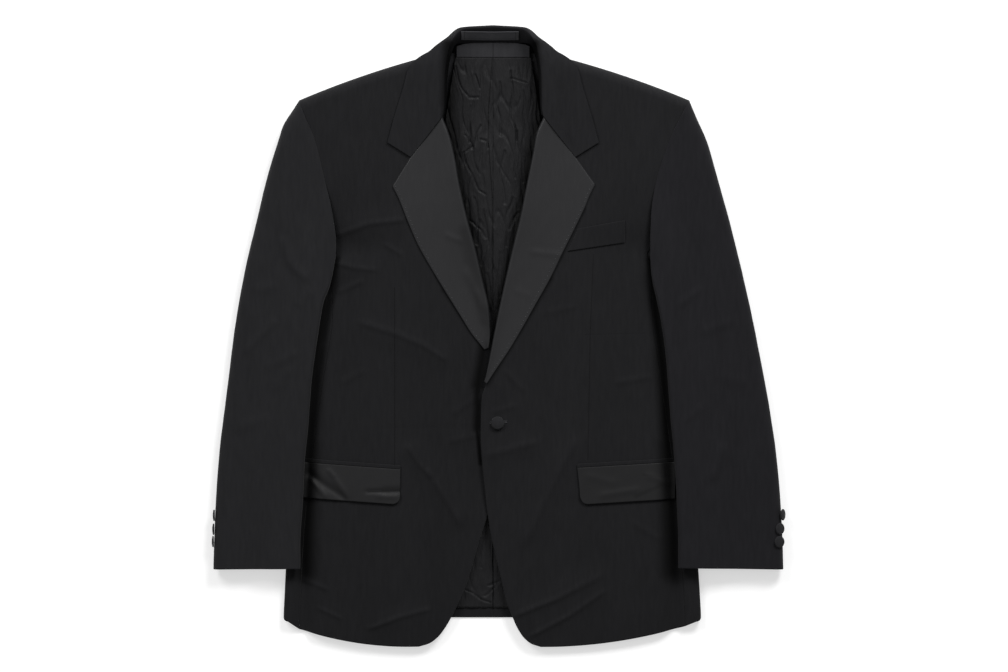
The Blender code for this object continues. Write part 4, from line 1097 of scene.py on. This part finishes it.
def makeLapel(side):
    rows = tableAt(lapel["rows"][side], evenMarks(*lapel["rowMarks"]))
    face = lapelFace(side, rows)
    upwards = face[0] - face[6]
    upwards /= np.linalg.norm(upwards, axis=1, keepdims=True)
    tucked = [face[0] + upwards * far - [0, 0, drop] for far, drop in lapel["tuck"]]
    face = np.concatenate([tucked, face])
    towards = wallWay(face, lapel["flatPoint"])
    piece = clothMesh(f"lapel{side.title()}", face, lapel["wall"], finishes[f"lapel{side.title()}"], towards)
    normals = -gridNormals(face) * towards
    line, ups = [], []
    first, last = stitch["bareRows"]
    for i in range(first, len(face) - last):
        fromEdge = np.concatenate([[0], np.cumsum(np.linalg.norm(np.diff(face[i, ::-1], axis=0), axis=1))])
        j = len(face[i]) - 1 - int(np.searchsorted(fromEdge, stitch["inset"]))
        if j > stitch["leastColumn"]:
            line.append(face[i, j])
            ups.append(normals[i, j])
    stitches = stitchRow(f"lapelStitches{side.title()}", np.array(line), np.array(ups), stitch)
    layCloth(piece, f"lapel_{side}")


for side in sides:
    makeLapel(side)
print("lapels laid")


# The collar: half of it, from the notch to the centre back. x counts outwards from the centre.
collar = {
    "wall": 1.6,
    "rowCount": 230,
    "length": 560,
    "columns": (46, 110),
    "flatPoint": (12, 30),
    "stations": (
        # over the front (1) or behind (0), then x, y, z of seam, crease, middle, foot and edge
        (1, 62, 287, 32, 65, 284, 43, 106.5, 231.5, 3.0, 121.5, 241, 3.0, 137, 250.5, 3.0),
        (1, 60.5, 303, 30, 63, 300, 44, 100, 259, 3.5, 115, 269, 3.0, 129, 280, 3.0),
        (1, 59, 332, 26, 63, 332, 45, 92, 312, 4.5, 104, 316, 3.5, 116.5, 321, 3.0),
        (0, 56, 356, 20, 60, 359, 45, 85, 348, 43, 97, 349, 42, 108, 350, 39),
        (0, 53, 368, 18, 57, 374, 43, 73, 372, 39, 81, 370, 35.5, 84.5, 367.5, 31),
        (0, 50, 376, 17, 54, 381, 42, 65, 382, 33, 74, 377, 19, 79, 367.5, 5),
        (0, 45, 379.5, 14, 50, 388, 38, 58, 389, 20, 64, 382, 3, 70, 353, 0),
        (0, 30, 380.8, 9, 38, 398, 30, 42, 401, 14, 44, 392, 0.6, 44, 358, 0),
        (0, 0, 381, 6, 0, 401, 24, 0, 404, 12, 0, 398, 0.6, 0, 358, 0),
    ),
    "marks": (0, 0.28, 0.62, 0.8, 1),
}
hangerLoop = {
    "x": (-50.0, 24.0), "y": (384.0, 394.5), "counts": (40, 8), "lengths": (74, 10),
    "lift": 2.2, "wall": 1.2, "rim": 0.8,
    "standHalf": 0.5, "standCounts": (161, 33),  # the part of the stand under it, as points
    "spread": 1.5,
}
neckFacing = {
    "half": 47.5, "bottom": 362.3, "top": 381.5, "topDrop": 5, "height": 6.6, "sideRise": 4.5, "wall": 1.0,
    "columns": (34, 88), "upMarks": (8, 15), "riseWidth": 47,
}


def collarFace(along, across):
    face = np.zeros((len(along), len(across), 3))
    marks = np.array(collar["marks"])
    for i, where in enumerate(along):
        station = tableAt(collar["stations"], [1 - abs(where)])[0]
        side = "left" if where >= 0 else "right"
        overFront, knots = station[0], station[1:].reshape(len(marks), 3).copy()
        knots[:, 0] = body["centreX"] + sides[side] * knots[:, 0]
        if overFront > 0:
            onFront = frontTop(side, knots[2:, 0], knots[2:, 1]) + knots[2:, 2]
            knots[2:, 2] = onFront * overFront + knots[2:, 2] * (1 - overFront)
        straight = np.stack([np.interp(across, marks, knots[:, c]) for c in range(3)], axis=1)
        rounded = np.stack([splineAt(marks, knots[:, c], across) for c in range(3)], axis=1)
        face[i] = straight * overFront + rounded * (1 - overFront)
        face[i, :, 2] = rounded[:, 2]
    return face


def makeCollar():
    along = withRims(np.linspace(-1, 1, collar["rowCount"]), collar["length"])
    face = collarFace(along, evenMarks(*collar["columns"]))
    towards = wallWay(face, collar["flatPoint"])
    piece = clothMesh("collarCloth", face, collar["wall"], finishes["collar"], towards)
    layCloth(piece, "collar")

    half, (lengthwise, upwards) = hangerLoop["standHalf"], hangerLoop["standCounts"]
    stand = collarFace(np.linspace(-half, half, lengthwise), np.linspace(0, collar["marks"][1], upwards))
    stand = stand.reshape(-1, 3)
    xs, ys = (
        withRims(np.linspace(*hangerLoop[key], count), length, hangerLoop["rim"])
        for key, count, length in zip("xy", hangerLoop["counts"], hangerLoop["lengths"])
    )
    loop = np.zeros((len(ys), len(xs), 3))
    for i, y in enumerate(ys):
        for j, x in enumerate(xs):
            nearness = np.exp(-((stand[:, 0] - x) ** 2 + (stand[:, 1] - y) ** 2) / hangerLoop["spread"])
            loop[i, j] = (x, y, (nearness * stand[:, 2]).sum() / nearness.sum() + hangerLoop["lift"])
    piece = clothMesh("hangerLoop", loop, hangerLoop["wall"], finishes["loop"], rim=hangerLoop["rim"])
    layCloth(piece, "hanger_loop")


def makeNeckFacing():
    half, (count, length) = neckFacing["half"], neckFacing["columns"]
    out = withRims(np.linspace(-half, half, count), length)[None, :]
    part = evenMarks(*neckFacing["upMarks"])[:, None]
    topY = neckFacing["top"] - neckFacing["topDrop"] * np.abs(out / half) ** 4
    y = neckFacing["bottom"] + (topY - neckFacing["bottom"]) * part
    rise = ease(np.abs(out) / neckFacing["riseWidth"]) ** 1.5
    z = neckFacing["height"] + neckFacing["sideRise"] * rise + part
    face = np.dstack([body["centreX"] + out + 0 * y, y, z])
    piece = clothMesh("neckFacing", face, neckFacing["wall"], finishes["facing"])
    layCloth(piece, "neck_facing")


makeCollar()
makeNeckFacing()
print("collar laid")


# The back lining, crushed into creases that run up and down.
lining = {
    "wall": 0.8,
    "rim": 0.9,
    "half": (
        # y, half width, rise at the side
        (-360, 120, 0.5), (0, 120, 1), (150, 96, 2.5), (250, 68, 5), (362, 49, 4.5),
    ),
    "folds": (
        # a dark crease through these points
        ((-57, 349), (-55, 333), (-51, 319), (-44, 311), (-29, 310)),
        ((12, 346), (14, 323), (14, 284), (19, 270), (21, 255)),
        ((13, 335), (25, 332), (36, 329)),
        ((-25, 275), (-31, 261), (-35, 246), (-45, 238)),
        ((-46, 238), (-42, 223), (-35, 207), (-26, 190), (-18, 186)),
        ((-46, 261), (-36, 243)), ((-27, 254), (-18, 254), (-14, 247)),
        ((21, 266), (19, 234), (18, 207)), ((-40, 300), (-38, 270), (-41, 250)),
        ((0, 330), (-3, 300), (2, 262)),
        ((30, 318), (33, 280), (27, 240), (30, 200)), ((-30, 340), (-27, 322)),
        ((5, 240), (0, 205), (6, 170)),
        ((-33, 180), (-28, 150), (-31, 120)), ((-22, 165), (-18, 130), (-22, 92)),
        ((14, 180), (8, 150), (10, 118)),
        ((-38, 150), (-24, 138), (-20, 128)), ((22, 160), (12, 140)), ((2, 110), (-2, 80), (-1, 50)),
        ((-16, 80), (-13, 45), (-15, 10)), ((-45, -331), (-35, -335), (-26, -341), (-13, -344)),
        ((-22, -335), (-13, -327), (-5, -322)), ((-17, -321), (-3, -320)), ((-24, -262), (-25, -300)),
    ),
    "height": 4.2,
    "topRise": 2.4,
    "crease": ((0.5, 4.5), (-1.6, 1.2)),  # height and half width of its ridge, and of the groove in it
    "bend": 5,
    "bendSize": 30,
    "bendSeeds": (61.0, 67.0),
    # how high, and then size, stretch, turn and seed
    "valleys": (1.1, 15, 5.0, 4, 40.0),
    "valleySharpness": 9,
    "pleats": (0.8, 3.6, 9.0, 1, 47.0),
    "waves": (0.9, 28, 2.0, 0, 83.0),
    "rowSteps": ((-352, -215, 1.3), (-215, -20, 6.0), (-20, 362, 1.3)),  # finer where it shows
    "columns": (72, 100),
}


def pathDistance(x, y, path):
    nearest = np.full(x.shape, 1e9)
    for (fromX, fromY), (toX, toY) in zip(path, path[1:]):
        alongX, alongY = toX - fromX, toY - fromY
        t = np.clip(((x - fromX) * alongX + (y - fromY) * alongY) / (alongX**2 + alongY**2), 0, 1)
        nearest = np.minimum(nearest, np.hypot(x - fromX - t * alongX, y - fromY - t * alongY))
    return nearest


def liningTop(x, y):
    out = np.abs(x - body["centreX"])
    half, side = (columnAt(lining["half"], c, y) for c in (1, 2))
    z = lining["height"] + side * ease(out / half) ** 1.5
    calm = fade("liningTop", y)
    bendX, bendY = (
        at + lining["bend"] * unevenness(x, y, lining["bendSize"], seed=seed)
        for at, seed in zip((x, y), lining["bendSeeds"])
    )
    for path in lining["folds"]:
        off = pathDistance(bendX, bendY, path)
        for height, halfWidth in lining["crease"]:
            z = z + calm * height * np.exp(-((off / halfWidth) ** 2))
    (deep, *valleyPatch), (high, *pleatPatch), (rolling, *wavePatch) = (
        lining[kind] for kind in ("valleys", "pleats", "waves")
    )
    toValley = np.abs(unevenness(bendX, bendY, *valleyPatch))
    valleys = np.clip(1 - toValley * lining["valleySharpness"], 0, 1)
    pleats, waves = unevenness(bendX, y, *pleatPatch), unevenness(x, y, *wavePatch)
    return z + calm * (high * pleats - deep * valleys + rolling * waves)


def makeLining(side):
    ys = np.concatenate([np.arange(*span) for span in lining["rowSteps"]] + [[fades["liningTop"][0]]])
    ys = withRims(ys, ys[-1] - ys[0])
    half = columnAt(lining["half"], 1, ys)[:, None]
    parts = evenMarks(*lining["columns"])[None, :]
    x = body["centreX"] + sides[side] * half * parts
    y = ys[:, None] + 0 * x
    face = np.dstack([x, y, liningTop(x, y) + lining["topRise"] * fade("liningRise", y)])
    piece = clothMesh(f"lining{side.title()}", face, lining["wall"], finishes["lining"], rim=lining["rim"])
    layCloth(piece, f"lining_{side}")


for side in sides:
    makeLining(side)
print("lining laid")


# Pocket flaps with their jets, and the breast welt.
flap = {
    "right": {"front": -129, "rear": -255.5, "topFront": -172, "topRear": -163, "height": 46, "slant": 0.8},
    "left": {"front": 100, "rear": 227.5, "topFront": -170, "topRear": -162.5, "height": 48, "slant": 4.5},
    "corner": 10.0,
    "jetHeight": 5.0,
    "lift": 2.5,
    "jetLift": 2.8,
    "edgeRise": 0.8,
    "counts": (9, 50),  # round the corner, and along the rest
    "flapRows": 22,
    "jetRows": 7,
    "wall": 1.4,
    "rim": 1.0,
    "creases": {
        "right": (
            (-251, -176, -197, -211, 5.0, -2.0), (-246, -184, -225, -209, 2.6, 1.3),
            (-223, -171, -215, -182, 3.0, 1.4), (-215, -182, -197, -210, 3.2, 1.4),
            (-174, -201, -152, -200.5, 2.2, -1.8),
            (-152, -200.5, -126, -199.5, 4.0, -2.0), (-160, -207, -134, -208, 3.0, 0.8),
        ),
        "left": (
            (130, -206, 180, -198, 4, 0.8), (112, -180, 150, -190, 5, 0.5), (190, -180, 222, -192, 4, 0.7),
        ),
    },
}
welt = {
    "inner": 100.5, "outer": 161.5, "topInner": 139.5, "topOuter": 150.5, "height": 29.0,
    "innerSlant": 13.0, "counts": (14, 26), "lift": 1.8, "wall": 1.4, "rim": 1.0,
}


def makeFlap(side):
    spec, corner = flap[side], flap["corner"]
    length = abs(spec["rear"] - spec["front"])
    atCorner, beyond = flap["counts"]
    along = np.concatenate([np.linspace(0, corner, atCorner)[:-1], np.linspace(corner, length, beyond)])
    along = withRims(along, length, flap["rim"])[:, None]

    def strip(name, finish, above, height, rounded, lift, count):
        top = spec["topFront"] + (spec["topRear"] - spec["topFront"]) * along / length + above
        t = np.clip(1 - along / corner, 0, 1) if rounded else 0 * along
        bottom = top - height + corner * (1 - np.sqrt(1 - t * t))
        parts = evenMarks(count, height, flap["rim"])[None, :]
        slant = rounded * spec["slant"] * parts * (1 - along / length)
        x = spec["front"] + sides[side] * (along + slant)
        y = top + (bottom - top) * parts
        z = frontTop(side, x, y) + lift + flap["edgeRise"] * parts * rounded
        if rounded:
            z = z + creaseHeight(x, y, flap["creases"][side]) * fade("flapCreases", parts)
        face = np.dstack([x, y, z])
        piece = clothMesh(f"{name}{side.title()}", face, flap["wall"], finishes[finish], rim=flap["rim"])
        layCloth(piece, f"{name}_{side}")

    finish, jetHeight = f"flap{side.title()}", flap["jetHeight"]
    strip("flap", finish, 0.0, spec["height"], 1, flap["lift"], flap["flapRows"])
    strip("jet", f"front{side.title()}", jetHeight, jetHeight, 0, flap["jetLift"], flap["jetRows"])


def makeWelt():
    length, (rowCount, columnCount) = welt["outer"] - welt["inner"], welt["counts"]
    part = evenMarks(rowCount, welt["height"], welt["rim"])[:, None]
    t = evenMarks(columnCount, length, welt["rim"])[None, :]
    y = welt["topInner"] + (welt["topOuter"] - welt["topInner"]) * t - welt["height"] * part
    x = welt["inner"] - welt["innerSlant"] * part * (1 - t) + length * t
    face = np.dstack([x, y, frontTop("left", x, y) + welt["lift"]])
    piece = clothMesh("breastWelt", face, welt["wall"], finishes["frontLeft"], rim=welt["rim"])
    layCloth(piece, "breast_welt")


for side in sides:
    makeFlap(side)
makeWelt()
print("pockets laid")


# Cloth-covered buttons and the buttonhole.
buttons = {
    "front": {"x": -3.0, "y": -112.0, "diameter": 17.0, "height": 4.5, "gap": 1.2},
    "cuffDiameter": 15.0,
    "cuffHeight": 2.8,
    "cuff": {
        # y, degrees that its face looks up from level, distance off the sleeve
        "right": ((-232, 4, 0.2), (-250, 4, 0.2), (-266, 4, 0.2)),
        "left": ((-231, 25, 2.0), (-249, 50, 0.3), (-266, 60, 0.3)),
    },
    "profile": (
        # fraction of the radius, fraction of the height
        (0.0, 0.0), (0.80, 0.0), (0.93, 0.10), (1.0, 0.32), (0.985, 0.5), (0.93, 0.66), (0.84, 0.76),
        (0.78, 0.775),
        (0.72, 0.80), (0.6, 0.88), (0.42, 0.95), (0.22, 0.99), (0.0, 1.0),
    ),
}
buttonhole = {
    "from": (-13.0, -112.0), "to": (8.5, -110.5), "apart": 1.8, "lift": 0.15,
    "markCount": 30, "spacing": 0.9, "length": 2.6, "radius": 0.4,
}


def makeButton(name, node, centre, axis, diameter, height):
    centre, axis = np.array(centre, float), np.array(axis, float) / np.linalg.norm(axis)
    first = np.cross(axis, [0, 1.0, 0])
    first /= np.linalg.norm(first)
    second = np.cross(axis, first)
    around, profile = 40, buttons["profile"][1:-1]
    points = [centre]
    for out, up in profile:
        for angle in 2 * math.pi * np.arange(around) / around:
            ring = first * math.cos(angle) + second * math.sin(angle)
            points.append(centre + ring * diameter / 2 * out + axis * height * up)
    points.append(centre + axis * height)
    faces, last = ringFaces(1, len(profile), around), 1 + (len(profile) - 1) * around
    for k in range(around):
        after = (k + 1) % around
        faces.append((0, 1 + after, 1 + k))
        faces.append((len(points) - 1, last + k, last + after))
    places = (np.array(points) - centre) @ np.stack([first, second], axis=1)
    piece = newPiece(name, points, faces, finishes["button"], places)
    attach(piece, "root")
    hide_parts(node)


def makeButtons():
    spec = buttons["front"]
    under = float(frontTop("left", spec["x"], spec["y"]))
    makeButton("frontButton", "button_front", (spec["x"], spec["y"], under + spec["gap"]), (0, 0, 1),
               spec["diameter"], spec["height"])
    for side, cuff in buttons["cuff"].items():
        table = np.array(sleeve["rows"][side], float)
        radius = table[-1, 4] / 2
        for count, (y, degrees, off) in enumerate(cuff, 1):
            level, up = math.cos(math.radians(degrees)), math.sin(math.radians(degrees))
            edge = float(np.interp(-y, -table[:, 1], table[:, 0]))
            centre = (edge + sides[side] * ((radius + off) * level - radius), y, radius + (radius + off) * up)
            makeButton(f"cuffButton{side.title()}{count}", f"cuff_button_{side}_{count}", centre,
                       (sides[side] * level, 0, up), buttons["cuffDiameter"], buttons["cuffHeight"])
    line = np.linspace(buttonhole["from"], buttonhole["to"], buttonhole["markCount"])
    alongX, alongY = line[-1] - line[0]
    across = np.array([-alongY, alongX]) / np.hypot(alongX, alongY) * buttonhole["apart"] / 2
    for row, way in enumerate((-1, 1), 1):
        at = line + across * way
        z = frontTop("left", at[:, 0], at[:, 1]) + buttonhole["lift"]
        ups = np.tile([0.0, 0.0, 1.0], (len(line), 1))
        stitchRow(f"buttonholeStitches{row}", np.column_stack([at, z]), ups, buttonhole)


makeButtons()
print("buttons sewn")
